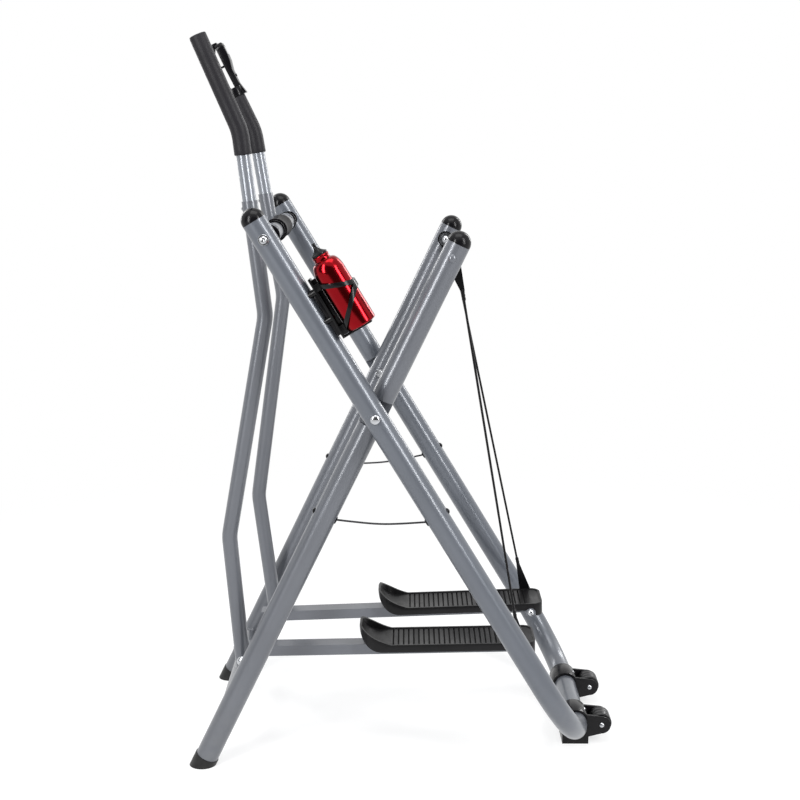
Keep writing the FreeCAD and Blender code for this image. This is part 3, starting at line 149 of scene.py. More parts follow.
def newGroup(name, inputs, output):
    # An input of four numbers is a colour, and one of a single number is a plain value.
    group = bpy.data.node_groups.new(name, "ShaderNodeTree")
    for socketName, value in inputs.items():
        kind = "NodeSocketColor" if isinstance(value, tuple) else "NodeSocketFloat"
        socket = group.interface.new_socket(name=socketName, in_out="INPUT", socket_type=kind)
        socket.default_value = value
    kind = "NodeSocketColor" if output == "Color" else "NodeSocketFloat"
    group.interface.new_socket(name=output, in_out="OUTPUT", socket_type=kind)
    given = group.nodes.new("NodeGroupInput").outputs
    result = group.nodes.new("NodeGroupOutput").inputs[0]
    return group, given, result


def useGroup(tree, group, values):
    return addNode(tree, "Group", values, node_tree=group).outputs[0]


# Where the noise of each shared effect starts and ends, and how fine it is.
effectSpec = {
    "driftNoise": (0.3, 0.7), "driftDetail": 4,
    "patchStart": 0.72, "patchEnd": 0.8, "patchDetail": 6, "patchDistortion": 0.6,
    "wearNoise": (0.42, 0.62), "wearScale": 160, "wearDetail": 5,
    "dustNoise": (0.35, 0.75), "dustScale": 60, "dustDetail": 6, "leastDust": 0.15,
    "grainDetail": 3,
}

# Slow light and dark drift of a colour.
toneDrift, given, result = newGroup(
    "toneDrift", {"Color": (0.5, 0.5, 0.5, 1), "Amount": 0.1, "Scale": 12}, "Color"
)
driftNoise = noise(toneDrift, given["Scale"], effectSpec["driftDetail"])
darkest = calculate(toneDrift, "SUBTRACT", 1.0, given["Amount"])
lightest = calculate(toneDrift, "ADD", 1.0, given["Amount"])
drift = mapRange(toneDrift, driftNoise, *effectSpec["driftNoise"], darkest, lightest)
drifted = addNode(toneDrift, "VectorMath", {0: given["Color"], "Scale": drift}, operation="SCALE")
toneDrift.links.new(drifted.outputs[0], result)

# Height of a fine even grain, as on paint or moulded plastic.
fineGrain, given, result = newGroup("fineGrain", {"Scale": 900, "Softness": 0.5}, "Height")
grainNoise = noise(fineGrain, given["Scale"], effectSpec["grainDetail"], {"Roughness": given["Softness"]})
fineGrain.links.new(grainNoise, result)

# Height of small closed cells, as on foam.
foamCells, given, result = newGroup("foamCells", {"Scale": 1400}, "Height")
cells = addNode(foamCells, "TexVoronoi", {"Vector": objectPoint(foamCells), "Scale": given["Scale"]})
foamCells.links.new(cells.outputs["Distance"], result)

# Patches where handling has changed the gloss.
handling, given, result = newGroup("handling", {"Scale": 35, "Cover": 0.5}, "Mask")
patches = noise(
    handling, given["Scale"], effectSpec["patchDetail"], {"Distortion": effectSpec["patchDistortion"]}
)
patchStart = calculate(handling, "SUBTRACT", effectSpec["patchStart"], given["Cover"])
handling.links.new(mapRange(handling, patches, patchStart, effectSpec["patchEnd"], 0.0, 1.0), result)

# Rubbed edges: the piece's own edge attribute, broken up by noise.
edgeWear, given, result = newGroup("edgeWear", {"Amount": 0.5}, "Mask")
wearNoise = noise(edgeWear, effectSpec["wearScale"], effectSpec["wearDetail"])
broken = mapRange(edgeWear, wearNoise, *effectSpec["wearNoise"], 0.0, 1.0)
edgeMask = multiply(edgeWear, multiply(edgeWear, attribute(edgeWear, "edge"), broken), given["Amount"])
edgeWear.links.new(edgeMask, result)

# Dust that thins out with height above the floor.
floorDust, given, result = newGroup("floorDust", {"Amount": 0.3, "Height": 0.25}, "Mask")
height = addNode(floorDust, "SeparateXYZ", {0: objectPoint(floorDust)}).outputs["Z"]
fading = mapRange(floorDust, height, 0.0, given["Height"], 1.0, 0.0)
dustNoise = noise(floorDust, effectSpec["dustScale"], effectSpec["dustDetail"])
dustSpots = mapRange(floorDust, dustNoise, *effectSpec["dustNoise"], effectSpec["leastDust"], 1.0)
dustMask = multiply(floorDust, multiply(floorDust, fading, dustSpots), given["Amount"])
floorDust.links.new(dustMask, result)

# What a finish has where its own entry says nothing else. Its wear then shows its own colour.
usualFinish = {
    "metallic": 0.0, "specular": 0.5, "coat": 0.0, "coatRoughness": 0.1, "sheen": 0.0, "sheenRoughness": 0.6,
    "wear": 0.0, "dust": 0.0, "dustHeight": 0.2, "dustColor": (0.30, 0.29, 0.27),
    "patchScale": 30, "patchCover": 0.35, "grainSoftness": 0.55, "cells": False,
    # Painted shade on slot floors: how much, its dark colour, and the roughness added with it.
    "hollow": 0.0, "slotShadeColor": (0.0006, 0.0006, 0.0007), "hollowRoughness": 0.5,
}


def finishOf(name, ownSpec):
    # A surface: a drifting colour, patchy gloss, grain, rubbed edges, dust near the floor, and painted shade
    # on slot floors where a finish asks for it.
    spec = {**usualFinish, "wearColor": ownSpec["color"], **ownSpec}
    material = bpy.data.materials.new(name)
    material.use_nodes = True
    tree = material.node_tree
    shader = tree.nodes["Principled BSDF"]
    color = useGroup(
        tree, toneDrift, {"Color": (*spec["color"], 1), "Amount": spec["drift"], "Scale": spec["driftScale"]}
    )
    wear = useGroup(tree, edgeWear, {"Amount": spec["wear"]})
    color = mixColor(tree, wear, color, (*spec["wearColor"], 1))
    dust = useGroup(tree, floorDust, {"Amount": spec["dust"], "Height": spec["dustHeight"]})
    color = mixColor(tree, dust, color, (*spec["dustColor"], 1))
    patch = useGroup(tree, handling, {"Scale": spec["patchScale"], "Cover": spec["patchCover"]})
    rough = mapRange(tree, patch, 0.0, 1.0, *spec["roughness"])
    if spec["hollow"]:
        # Slot floors get painted shade, a darker colour for the shade that falls in the slots, and a higher
        # roughness.
        depth = multiply(tree, attribute(tree, "hollow"), spec["hollow"])
        color = mixColor(tree, depth, color, (*spec["slotShadeColor"], 1))
        rough = calculate(tree, "ADD", rough, multiply(tree, depth, spec["hollowRoughness"]))
    tree.links.new(color, shader.inputs["Base Color"])
    tree.links.new(rough, shader.inputs["Roughness"])
    plainSockets = {
        "Metallic": "metallic", "Specular IOR Level": "specular", "Coat Weight": "coat",
        "Coat Roughness": "coatRoughness", "Sheen Weight": "sheen", "Sheen Roughness": "sheenRoughness",
    }
    for socket, key in plainSockets.items():
        shader.inputs[socket].default_value = spec[key]
    if spec["cells"]:
        relief = useGroup(tree, foamCells, {"Scale": spec["grainScale"]})
    else:
        relief = useGroup(tree, fineGrain, {"Scale": spec["grainScale"], "Softness": spec["grainSoftness"]})
    sockets = {"Height": relief, "Strength": spec["grain"], "Distance": spec["grainDepth"]}
    tree.links.new(addNode(tree, "Bump", sockets).outputs[0], shader.inputs["Normal"])
    return material


# What the paints of the two frames share.
framePaint = {
    "metallic": 0.3, "coat": 0.38, "coatRoughness": 0.15, "wear": 0.4, "wearColor": (0.30, 0.30, 0.31),
    "grain": 0.012, "grainScale": 260, "grainDepth": 0.0004,
}
finishes = {
    "frontPaint": {
        **framePaint, "color": (0.127, 0.134, 0.151), "drift": 0.05, "driftScale": 9,
        "roughness": (0.34, 0.36), "dust": 0.16, "dustHeight": 0.22,
    },
    "rearPaint": {
        **framePaint, "color": (0.118, 0.129, 0.150), "drift": 0.06, "driftScale": 8,
        "roughness": (0.35, 0.37), "dust": 0.18, "dustHeight": 0.25,
    },
    "brightTube": {
        "color": (0.23, 0.245, 0.27), "drift": 0.05, "driftScale": 14, "metallic": 0.4,
        "roughness": (0.275, 0.29), "coat": 0.3, "coatRoughness": 0.14,
        "grain": 0.008, "grainScale": 200, "grainDepth": 0.0003,
    },
    "brightBolt": {
        "color": (0.50, 0.51, 0.53), "drift": 0.08, "driftScale": 60, "metallic": 1.0,
        "roughness": (0.10, 0.24), "patchScale": 120, "dust": 0.1,
        "grain": 0.05, "grainScale": 700, "grainDepth": 0.0003,
    },
    "mouldedPlastic": {
        "color": (0.0040, 0.0038, 0.0048), "drift": 0.18, "driftScale": 20, "specular": 0.19,
        "roughness": (0.20, 0.30), "grain": 0.05, "grainScale": 1300, "grainDepth": 0.0004,
        "wear": 0.5, "wearColor": (0.030, 0.030, 0.034), "dust": 0.02,
    },
    "footPlatePlastic": {
        "color": (0.0050, 0.0048, 0.0054), "drift": 0.14, "driftScale": 14, "specular": 0.22,
        # Its slot floors get painted shade, and are made duller.
        "roughness": (0.30, 0.42), "grain": 0.16, "grainScale": 1000, "grainDepth": 0.0005, "hollow": 0.85,
        "wear": 0.5, "wearColor": (0.04, 0.04, 0.044), "dust": 0.012, "dustHeight": 0.42,
    },
    "gripFoam": {
        "color": (0.0120, 0.0112, 0.0138), "drift": 0.12, "driftScale": 24, "specular": 0.22, "sheen": 0.02,
        "roughness": (0.46, 0.56), "grain": 0.12, "grainScale": 1500, "grainDepth": 0.0005, "cells": True,
    },
    "coverRubber": {
        "color": (0.0075, 0.0068, 0.0080), "drift": 0.15, "driftScale": 40, "specular": 0.06,
        "roughness": (0.34, 0.46), "grain": 0.10, "grainScale": 900, "grainDepth": 0.0004,
    },
    "footRubber": {
        "color": (0.006, 0.006, 0.0065), "drift": 0.15, "driftScale": 30, "specular": 0.3,
        "roughness": (0.4, 0.55), "grain": 0.3, "grainScale": 900, "grainDepth": 0.0006,
        "dust": 0.05, "dustHeight": 0.04,
    },
    "wheelPlastic": {
        "color": (0.006, 0.006, 0.0068), "drift": 0.15, "driftScale": 40, "specular": 0.35,
        "roughness": (0.30, 0.42), "grain": 0.2, "grainScale": 900, "grainDepth": 0.0005,
        "wear": 0.6, "wearColor": (0.04, 0.04, 0.04), "dust": 0.04, "dustHeight": 0.08,
    },
    "blackSteel": {
        "color": (0.0035, 0.0035, 0.004), "drift": 0.12, "driftScale": 30, "specular": 0.24,
        "roughness": (0.20, 0.30), "grain": 0.06, "grainScale": 600, "grainDepth": 0.0003,
        "wear": 0.5, "wearColor": (0.04, 0.04, 0.04),
    },
    "cableJacket": {
        "color": (0.005, 0.005, 0.0055), "drift": 0.1, "driftScale": 50, "specular": 0.2,
        "roughness": (0.22, 0.34), "grain": 0.04, "grainScale": 500, "grainDepth": 0.0003,
    },
    "anodisedRed": {
        "color": (0.27, 0.004, 0.008), "drift": 0.06, "driftScale": 30, "metallic": 1.0,
        "roughness": (0.175, 0.195), "coat": 0.10, "grain": 0.02, "grainScale": 1200, "grainDepth": 0.0003,
    },
    "displayGlass": {
        "color": (0.030, 0.036, 0.031), "drift": 0.10, "driftScale": 40, "coat": 1.0, "coatRoughness": 0.03,
        "roughness": (0.06, 0.16), "grain": 0.02, "grainScale": 300, "grainDepth": 0.0002,
    },
}
materials = {name: finishOf(name, spec) for name, spec in finishes.items()}

weaveSpec = {
    # between is painted shade in the gaps between strands, crest a painted highlight on the strands; the
    # cord is one black.
    "strands": 6, "between": (0.006, 0.006, 0.007, 1), "crest": (0.030, 0.030, 0.034, 1),
    "roughness": (0.85, 0.6), "relief": 0.8, "reliefDepth": 0.0006,
}


def wovenCordFinish():
    # A braid drawn on the cord's own map: two sets of strands that cross each other.
    material = bpy.data.materials.new("wovenCord")
    material.use_nodes = True
    tree = material.node_tree
    shader = tree.nodes["Principled BSDF"]
    cordMap = addNode(tree, "UVMap", uv_map="along").outputs[0]
    ways = addNode(tree, "SeparateXYZ", {0: cordMap}).outputs
    strands = []
    for direction in (1, -1):
        slanted = calculate(tree, "MULTIPLY_ADD", ways["X"], direction, ways["Y"])
        wave = calculate(tree, "SINE", multiply(tree, slanted, 2 * math.pi * weaveSpec["strands"]))
        strands.append(mapRange(tree, wave, -1, 1, 0.0, 1.0))
    braid = calculate(tree, "MAXIMUM", *strands)
    # The braid's gaps are painted darker and its crests lighter: painted shade and painted highlight.
    color = mixColor(tree, braid, weaveSpec["between"], weaveSpec["crest"])
    tree.links.new(color, shader.inputs["Base Color"])
    tree.links.new(mapRange(tree, braid, 0.0, 1.0, *weaveSpec["roughness"]), shader.inputs["Roughness"])
    sockets = {"Height": braid, "Strength": weaveSpec["relief"], "Distance": weaveSpec["reliefDepth"]}
    tree.links.new(addNode(tree, "Bump", sockets).outputs[0], shader.inputs["Normal"])
    return material


materials["wovenCord"] = wovenCordFinish()
print("materials made:", len(materials))

# Mesh tools
mergeDistance = 1e-6


def addPiece(bm, name, body, material, replaced=(), sharpAngle=35):
    bmesh.ops.remove_doubles(bm, verts=bm.verts, dist=mergeDistance)
    bmesh.ops.recalc_face_normals(bm, faces=bm.faces)
    mesh = bpy.data.meshes.new(name)
    bm.to_mesh(mesh)
    bm.free()
    mesh.shade_smooth()
    mesh.set_sharp_from_angle(angle=math.radians(sharpAngle))
    mesh.materials.append(materials[material])
    piece = bpy.data.objects.new(name, mesh)
    scene.collection.objects.link(piece)
    if body:
        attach(piece, body)
    if replaced:
        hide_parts(*replaced)
    return piece


def placeOn(base, direction):
    return Matrix.Translation(base) @ upright.rotation_difference(direction).to_matrix().to_4x4()


def lathe(bm, profile, place, steps, closed=False):
    # Turns (radius, height) points about the Z axis of a place.
    verts = [bm.verts.new(place @ Vector((radius, 0, up))) for radius, up in profile]
    follow = verts[1:] + (verts[:1] if closed else [])
    edges = [bm.edges.new(pair) for pair in zip(verts, follow)]
    bmesh.ops.spin(
        bm, geom=verts + edges, cent=place.translation, axis=place.to_3x3() @ upright,
        dvec=(0, 0, 0), angle=2 * math.pi, steps=steps, use_merge=True,
    )


def ringAt(bm, place, radius, steps, corners=0):
    # A round ring, or one with flats when it has corners.
    ring = bmesh.ops.create_circle(bm, cap_ends=False, segments=steps, radius=radius)["verts"]
    for vert in ring:
        if corners:
            angle = math.atan2(vert.co.y, vert.co.x) % (2 * math.pi / corners) - math.pi / corners
            vert.co *= math.cos(math.pi / corners) / math.cos(angle)
        vert.co = place @ vert.co
    return ring


def ringEdges(ring):
    inside = set(ring)
    found = [edge for vert in ring for edge in vert.link_edges if edge.other_vert(vert) in inside]
    return list(dict.fromkeys(found))


def bridgeRings(bm, rings, closed=False):
    # Walls from each ring to the next, and from the last to the first when closed.
    loops = [ringEdges(ring) for ring in rings]
    for low, high in zip(loops, loops[1:] + (loops[:1] if closed else [])):
        bmesh.ops.bridge_loops(bm, edges=low + high)


def stackRings(bm, rings, place, steps=24):
    # Rings of (radius, height, corners) from the bottom up, bridged, with a cap on the last one.
    stack = [
        ringAt(bm, place @ Matrix.Translation((0, 0, up)), radius, steps, corners)
        for radius, up, corners in rings
    ]
    bridgeRings(bm, stack)
    bm.faces.new(stack[-1])


def tubeAlong(bm, points, radii, up, steps, closed=False, mapped=False):
    # A tube round a line of points; mapped keeps the way round and along for a UV map.
    roundLayer = bm.verts.layers.float.new("roundWay") if mapped else None
    alongLayer = bm.verts.layers.float.new("alongWay") if mapped else None
    rings = []
    travelled = 0.0
    count = len(points)
    for index, point in enumerate(points):
        before = points[index - 1] if index or closed else point
        after = points[(index + 1) % count] if index + 1 < count or closed else point
        tangent = (after - before).normalized()
        side = up.cross(tangent).normalized()
        basis = Matrix((side, tangent.cross(side), tangent)).transposed().to_4x4()
        ring = ringAt(bm, Matrix.Translation(point) @ basis, radii[index], steps)
        if mapped:
            travelled += (point - points[max(index - 1, 0)]).length
            for number, vert in enumerate(ring):
                vert[roundLayer] = number / steps
                vert[alongLayer] = travelled
        rings.append(ring)
    bridgeRings(bm, rings, closed)
    return rings


def softenEdges(bm, width, angle=35, segments=2):
    # Rounds the sharp edges over and marks the new faces as places that rub.
    layer = bm.faces.layers.float.get("edge") or bm.faces.layers.float.new("edge")
    sharp = [
        edge for edge in bm.edges
        if edge.is_manifold and edge.calc_face_angle(0) > math.radians(angle)
    ]
    made = bmesh.ops.bevel(
        bm, geom=sharp, offset=width, offset_type="OFFSET", affect="EDGES", segments=segments,
        profile=0.5, material=-1, clamp_overlap=True,
    )
    for face in made["faces"]:
        face[layer] = 1.0


# Cables and cords
def smoothLine(name, places):
    # A NURBS curve that has the places as its control points.
    curve = bpy.data.curves.new(name, "CURVE")
    curve.dimensions = "3D"
    spline = curve.splines.new("NURBS")
    spline.points.add(len(places) - 1)
    for point, place in zip(spline.points, places):
        point.co = (*place, 1)
    spline.order_u = 3
    spline.use_endpoint_u = True
    return curve


def pointsOn(curve):
    # The points of a curve with no bevel, read from its mesh.
    guide = bpy.data.objects.new(curve.name, curve)
    line = bpy.data.meshes.new_from_object(guide)
    points = [vert.co.copy() for vert in line.vertices]
    bpy.data.objects.remove(guide)
    bpy.data.meshes.remove(line)
    return points


# Foot plate cables: coated steel, pulled straight between the heel bracket and the hanger.
cableSpec = {
    "diameter": 0.005, "crimps": 3, "pinch": 0.0006,
    "sleeveRadius": 0.0042, "sleeveLength": 0.024, "sleeveBack": 0.003, "sleeveLip": 0.001,
    "left": ((0.11088, -0.189, 1.00319), (0.17108, -0.17525, 0.65190), (0.231279, -0.1615, 0.300617)),
    "right": ((0.11381, 0.189, 1.00423), (0.18909, 0.17525, 0.65587), (0.264362, 0.1615, 0.307501)),
}


def sleeveProfile():
    # Full and pinched bands by turns, with a lip down to the cable at both ends.
    core, length, bands = cableSpec["diameter"] / 2, cableSpec["sleeveLength"], 2 * cableSpec["crimps"] + 1
    back, lip = cableSpec["sleeveBack"], cableSpec["sleeveLip"]
    profile = [(core, -back - lip)]
    for number in range(bands + 1):
        pinch = cableSpec["pinch"] if number % 2 else 0.0
        profile.append((cableSpec["sleeveRadius"] - pinch, number * length / bands - back))
    return profile + [(core, length - back + lip)]


for title, side, sign in sides:
    route = [Vector(point) for point in cableSpec[side]]
    high, low = route[0], route[-1]
    curve = smoothLine("footCable" + title, route)
    curve.bevel_depth = cableSpec["diameter"] / 2
    curve.bevel_resolution = 6
    curve.use_fill_caps = True
    curve.materials.append(materials["cableJacket"])
    cable = bpy.data.objects.new("footCable" + title, curve)
    scene.collection.objects.link(cable)
    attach(cable, side + "_cable")
    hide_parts("cable_" + side)
    along = (low - high).normalized()
    sleeves = bmesh.new()
    for end, direction in ((high, along), (low, -along)):
        lathe(sleeves, sleeveProfile(), placeOn(end, direction), steps=24)
    addPiece(sleeves, "cableSleeves" + title, side + "_cable", "blackSteel", sharpAngle=25)

# Spreader cords: a woven cord that hangs a little between the two frames.
cordSpec = {
    "diameter": 0.004, "steps": 16, "weaveLength": 0.0125,
    "points": (
        (-0.14581, 0.22300, 0.53929), (-0.10000, 0.23485, 0.53740), (-0.05113, 0.24750, 0.53702),
        (-0.00200, 0.26020, 0.54262), (0.04355, 0.27200, 0.54973),
    ),
}
grommetSpec = {
    "radius": 0.0062, "lipWidth": 0.0016, "lipHeight": 0.0014, "stand": 0.0002, "lipSteps": 8,
    "discTop": -0.0008, "discFoot": -0.0016,
}


def mapCord(bm):
    # U goes round the cord and V along it, in lengths of the weave.
    uvLayer = bm.loops.layers.uv.new("along")
    roundLayer = bm.verts.layers.float["roundWay"]
    alongLayer = bm.verts.layers.float["alongWay"]
    for face in bm.faces:
        farthest = max(vert[roundLayer] for vert in face.verts)
        for loop in face.loops:
            way = loop.vert[roundLayer]
            if farthest - way > 0.5:
                way += 1  # the last face of a ring goes on round, not back to the start
            loop[uvLayer].uv = (way, loop.vert[alongLayer] / cordSpec["weaveLength"])


def cordGrommet(title, key, point, outward):
    # A lipped eyelet on a leg, where a cord goes in.
    leg = framePlaces[key]
    seat = leg.inverted() @ point
    seat.x = outward * frameSpec["tubeRadius"]
    place = placeOn(leg @ seat, leg.to_3x3() @ Vector((outward, 0, 0)))
    radius, top, foot = grommetSpec["radius"], grommetSpec["discTop"], grommetSpec["discFoot"]
    lip = []
    for step in range(grommetSpec["lipSteps"]):
        angle = 2 * math.pi * step / grommetSpec["lipSteps"]
        across = radius + grommetSpec["lipWidth"] * math.cos(angle)
        lip.append((across, grommetSpec["stand"] + grommetSpec["lipHeight"] * math.sin(angle)))
    bm = bmesh.new()
    lathe(bm, lip, place, steps=32, closed=True)
    lathe(bm, [(0.0, top), (radius, top), (radius, foot), (0.0, foot)], place, steps=32)
    name = "cordGrommet" + key.capitalize() + title
    addPiece(bm, name, frameSpec[key]["body"], "mouldedPlastic")


for title, side, sign in sides:
    route = [Vector((point[0], sign * point[1], point[2])) for point in cordSpec["points"]]
    start, end = route[0], route[-1]
    path = pointsOn(smoothLine("cordGuide" + title, route))
    bm = bmesh.new()
    tubeAlong(bm, path, [cordSpec["diameter"] / 2] * len(path), upright, cordSpec["steps"], mapped=True)
    mapCord(bm)
    cord = addPiece(bm, "spreaderCord" + title, None, "wovenCord")
    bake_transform(cord, "front_frame", "rear_frame", start=tuple(start), end=tuple(end))
    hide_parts("spreader_cord_" + side)
    cordGrommet(title, "front", start, 1)
    cordGrommet(title, "rear", end, -1)
print("cables and cords laid")


def bothSides(*stems):
    # The names of nodes that come in twos.
    return [stem + "_" + side for stem in stems for title, side, sign in sides]


# CAD pieces that keep their shape and get their finish here.
nodeFinishes = {
    "rearPaint": bothSides("rear_leg") + ["rear_cross_tube"],
    "frontPaint": bothSides("front_leg", "arm", "pedal_bar") + ["front_crossbar", "cable_bolts"],
    "brightTube": bothSides("handle") + ["axle_spacers"],
    "brightBolt": (
        bothSides("joint_screw", "arm_pin", "heel_pin", "hanger_pin")
        + ["hub_axle", "cover_rings", "wheel_bolts"]
    ),
    "mouldedPlastic": (
        bothSides("hub_bushings", "cable_boss")
        + ["rear_caps", "front_caps", "cord_screws_rear", "cord_screws_front"]
    ),
    "blackSteel": bothSides("heel_bracket", "cable_hanger"),
    "footRubber": bothSides("front_foot"),
    "coverRubber": ["hub_cover"],
}
for material, nodeNames in nodeFinishes.items():
    for nodeName in nodeNames:
        mesh = frame["nodes"][nodeName].data
        mesh.materials.clear()
        mesh.materials.append(materials[material])

# Copies of moulded and pressed pieces with their sharp edges rounded over.
copySpec = {"merge": 4e-6, "flatWithin": 0.8, "sharp": 30, "shadeSharp": 40, "washerReach": 0.05}
edgeWidths = {"footPlate": 0.0008, "wheelBracket": 0.0012, "cage": 0.0005, "clamp": 0.0008, "meter": 0.0012}


def copyOf(node):
    bm = bmesh.new()
    bm.from_mesh(frame["nodes"][node].data)
    bmesh.ops.remove_doubles(bm, verts=bm.verts, dist=copySpec["merge"])
    return bm


# Slots in the foot plates' treads. Upright and parallel are cosines: of a tread's tilt, and of the angle
# between a slot's floor and its tread.
slotSpec = {"depth": 0.003, "slack": 0.0009, "upright": 0.99, "parallel": 0.9995}


def markSlots(bm):
    # The tread is the widest face that looks up. What lies one slot depth below it is a slot's floor.
    # Slot floors are marked here for painted shade: the finish paints them darker.
    layer = bm.faces.layers.float.new("hollow")
    level = [face for face in bm.faces if face.normal.z > slotSpec["upright"]]
    tread = max(level, key=lambda face: face.calc_area())
    normal = tread.normal.copy()
    floorLevel = tread.calc_center_median().dot(normal) - slotSpec["depth"]
    parallel = [face for face in bm.faces if face.normal.dot(normal) > slotSpec["parallel"]]
    floors = [
        face for face in parallel
        if abs(floorLevel - face.calc_center_median().dot(normal)) < slotSpec["slack"]
    ]
    for face in floors:
        face[layer] = 1.0
    print("slot floors:", len(floors))


def roundedCopy(node, body, material, width, slotted=False):
    bm = copyOf(node)
    flatAngle = math.radians(copySpec["flatWithin"])
    bmesh.ops.dissolve_limit(bm, angle_limit=flatAngle, verts=bm.verts, edges=bm.edges)
    if slotted:
        markSlots(bm)
    softenEdges(bm, width, copySpec["sharp"])
    words = node.split("_")
    name = words[0] + "".join(word.capitalize() for word in words[1:])
    addPiece(bm, name, body, material, (node,), copySpec["shadeSharp"])


def washersRound(centre):
    # The frame washers that lie round a line across the machine.
    bm = copyOf("frame_washers")
    reach = copySpec["washerReach"]
    far = [vert for vert in bm.verts if math.hypot(vert.co.x - centre.x, vert.co.z - centre.z) > reach]
    bmesh.ops.delete(bm, geom=far, context="VERTS")
    return bm


for title, side, sign in sides:
    roundedCopy(
        "foot_plate_" + side, side + "_pedal", "footPlatePlastic",
        edgeWidths["footPlate"], slotted=True,
    )
    roundedCopy(
        "wheel_bracket_" + side, "rear_frame", "mouldedPlastic", edgeWidths["wheelBracket"]
    )
roundedCopy("bottle_cage", "rear_frame", "blackSteel", edgeWidths["cage"])
roundedCopy("meter_clamp", "right_arm", "mouldedPlastic", edgeWidths["clamp"])
roundedCopy("meter_pod", "right_arm", "mouldedPlastic", edgeWidths["meter"])
addPiece(
    washersRound(axle), "axleWashers", "rear_frame", "mouldedPlastic", ("frame_washers",)
)
addPiece(washersRound(pivot), "crossingSpacers", "rear_frame", "brightTube")
print("rounded copies made")

# Foam grips, bent with the handle. A shoulder is rings of (way in from the end, lack of radius).
gripSpec = {
    "radius": 0.01725, "tubeRadius": 0.014, "bendRadius": 0.110, "belowBend": 0.047, "topCap": 0.004,
    "top": (-0.1329, 0.3790), "bend": (-0.0565, 0.2013), "knee": (-0.0143, -0.1638), "rightSeat": 0.1115,
    "topShoulder": ((0.0, 0.0022), (0.0006, 0.0007), (0.0022, 0.0)),
    "lowShoulder": ((0.0022, 0.0), (0.0006, 0.0006), (0.0, 0.0020)),
    "mouth": 0.0008, "squeeze": 0.0002, "dimpleWidth": 0.004, "dimple": 0.0004, "bendSteps": 10,
}


def bentLine(start, corner, end, radius, steps, firstSteps=4, lastSteps=3):
    # A straight run, an arc that touches both runs, and the second run.
    arrive, leave = (corner - start).normalized(), (end - corner).normalized()
    turn = arrive.angle(leave)
    reach = radius * math.tan(turn / 2)
    bendStart, bendEnd = corner - arrive * reach, corner + leave * reach
    points = [start.lerp(bendStart, step / firstSteps) for step in range(firstSteps + 1)]
    inward = (leave - arrive).normalized()
    centre = corner + inward * radius / math.cos(turn / 2)
    spoke = bendStart - centre
    axis = arrive.cross(leave).normalized()
    for step in range(1, steps + 1):
        points.append(centre + Matrix.Rotation(turn * step / steps, 3, axis) @ spoke)
    return points + [bendEnd.lerp(end, step / lastSteps) for step in range(1, lastSteps + 1)]


# The handle's top, its bend and the arm's knee, seen from the hub.
gripTop, gripBend, armKnee = (
    Vector((gripSpec[key][0], 0, gripSpec[key][1])) for key in ("top", "bend", "knee")
)
upward = (gripTop - gripBend).normalized()
downward = (armKnee - gripBend).normalized()
for title, side, sign in sides:
    topEnd = gripTop + upward * (gripSpec["topCap"] if side == "left" else -gripSpec["rightSeat"])
    lowEnd = gripBend + downward * gripSpec["belowBend"]
    middle = bentLine(topEnd, gripBend, lowEnd, gripSpec["bendRadius"], gripSpec["bendSteps"])[1:-1]
    radius = gripSpec["radius"]
    points = [topEnd - upward * way for way, lack in gripSpec["topShoulder"]] + middle
    points += [lowEnd - downward * way for way, lack in gripSpec["lowShoulder"]]
    points.append(lowEnd - downward * gripSpec["mouth"])
    radii = [radius - lack for way, lack in gripSpec["topShoulder"]] + [radius] * len(middle)
    radii += [radius - lack for way, lack in gripSpec["lowShoulder"]]
    radii.append(gripSpec["tubeRadius"] - gripSpec["squeeze"])
    bm = bmesh.new()
    rings = tubeAlong(bm, [hubPlaces[side] @ point for point in points], radii, sideways, steps=48)
    cap = bm.faces.new(rings[0])
    bmesh.ops.inset_region(bm, faces=[cap], thickness=gripSpec["dimpleWidth"], depth=gripSpec["dimple"])
    addPiece(bm, "grip" + title, side + "_arm", "gripFoam", ("grip_" + side,), sharpAngle=60)
print("grips made")

# Bottle, turned about its own axis. The rim is (out from the neck, down from its top), point by point.
bottleSpec = {
    "radius": 0.0303, "foot": 0.004, "footSteps": 5, "standWidth": 0.003, "body": 0.116,
    "dent": 0.0015, "dentEdge": 0.0012, "dentShare": 0.55, "bodyRings": (0.35, 0.7, 1.0),
    "shoulder": 0.028, "shoulderShare": 0.96, "shoulderPowers": (0.8, 1.15), "shoulderSteps": 13,
    "neck": 0.016, "neckHeight": 0.010, "neckFlare": 0.0003, "neckStart": 0.002,
    "rim": ((0, 0.0035), (0.0008, 0.0028), (0.0008, 0.0008), (0, 0), (-0.0012, 0), (-0.0015, 0.004)),
    "standOff": 0.075, "up": 0.172, "aside": 0.012,
}
bottlePlace = framePlaces["rear"] @ Matrix.Translation(
    (bottleSpec["standOff"], -(frameSpec["rear"]["halfWidth"] + bottleSpec["aside"]), bottleSpec["up"])
)
shoulderTop = bottleSpec["body"] + bottleSpec["shoulder"]
neckTop = shoulderTop + bottleSpec["neckHeight"]


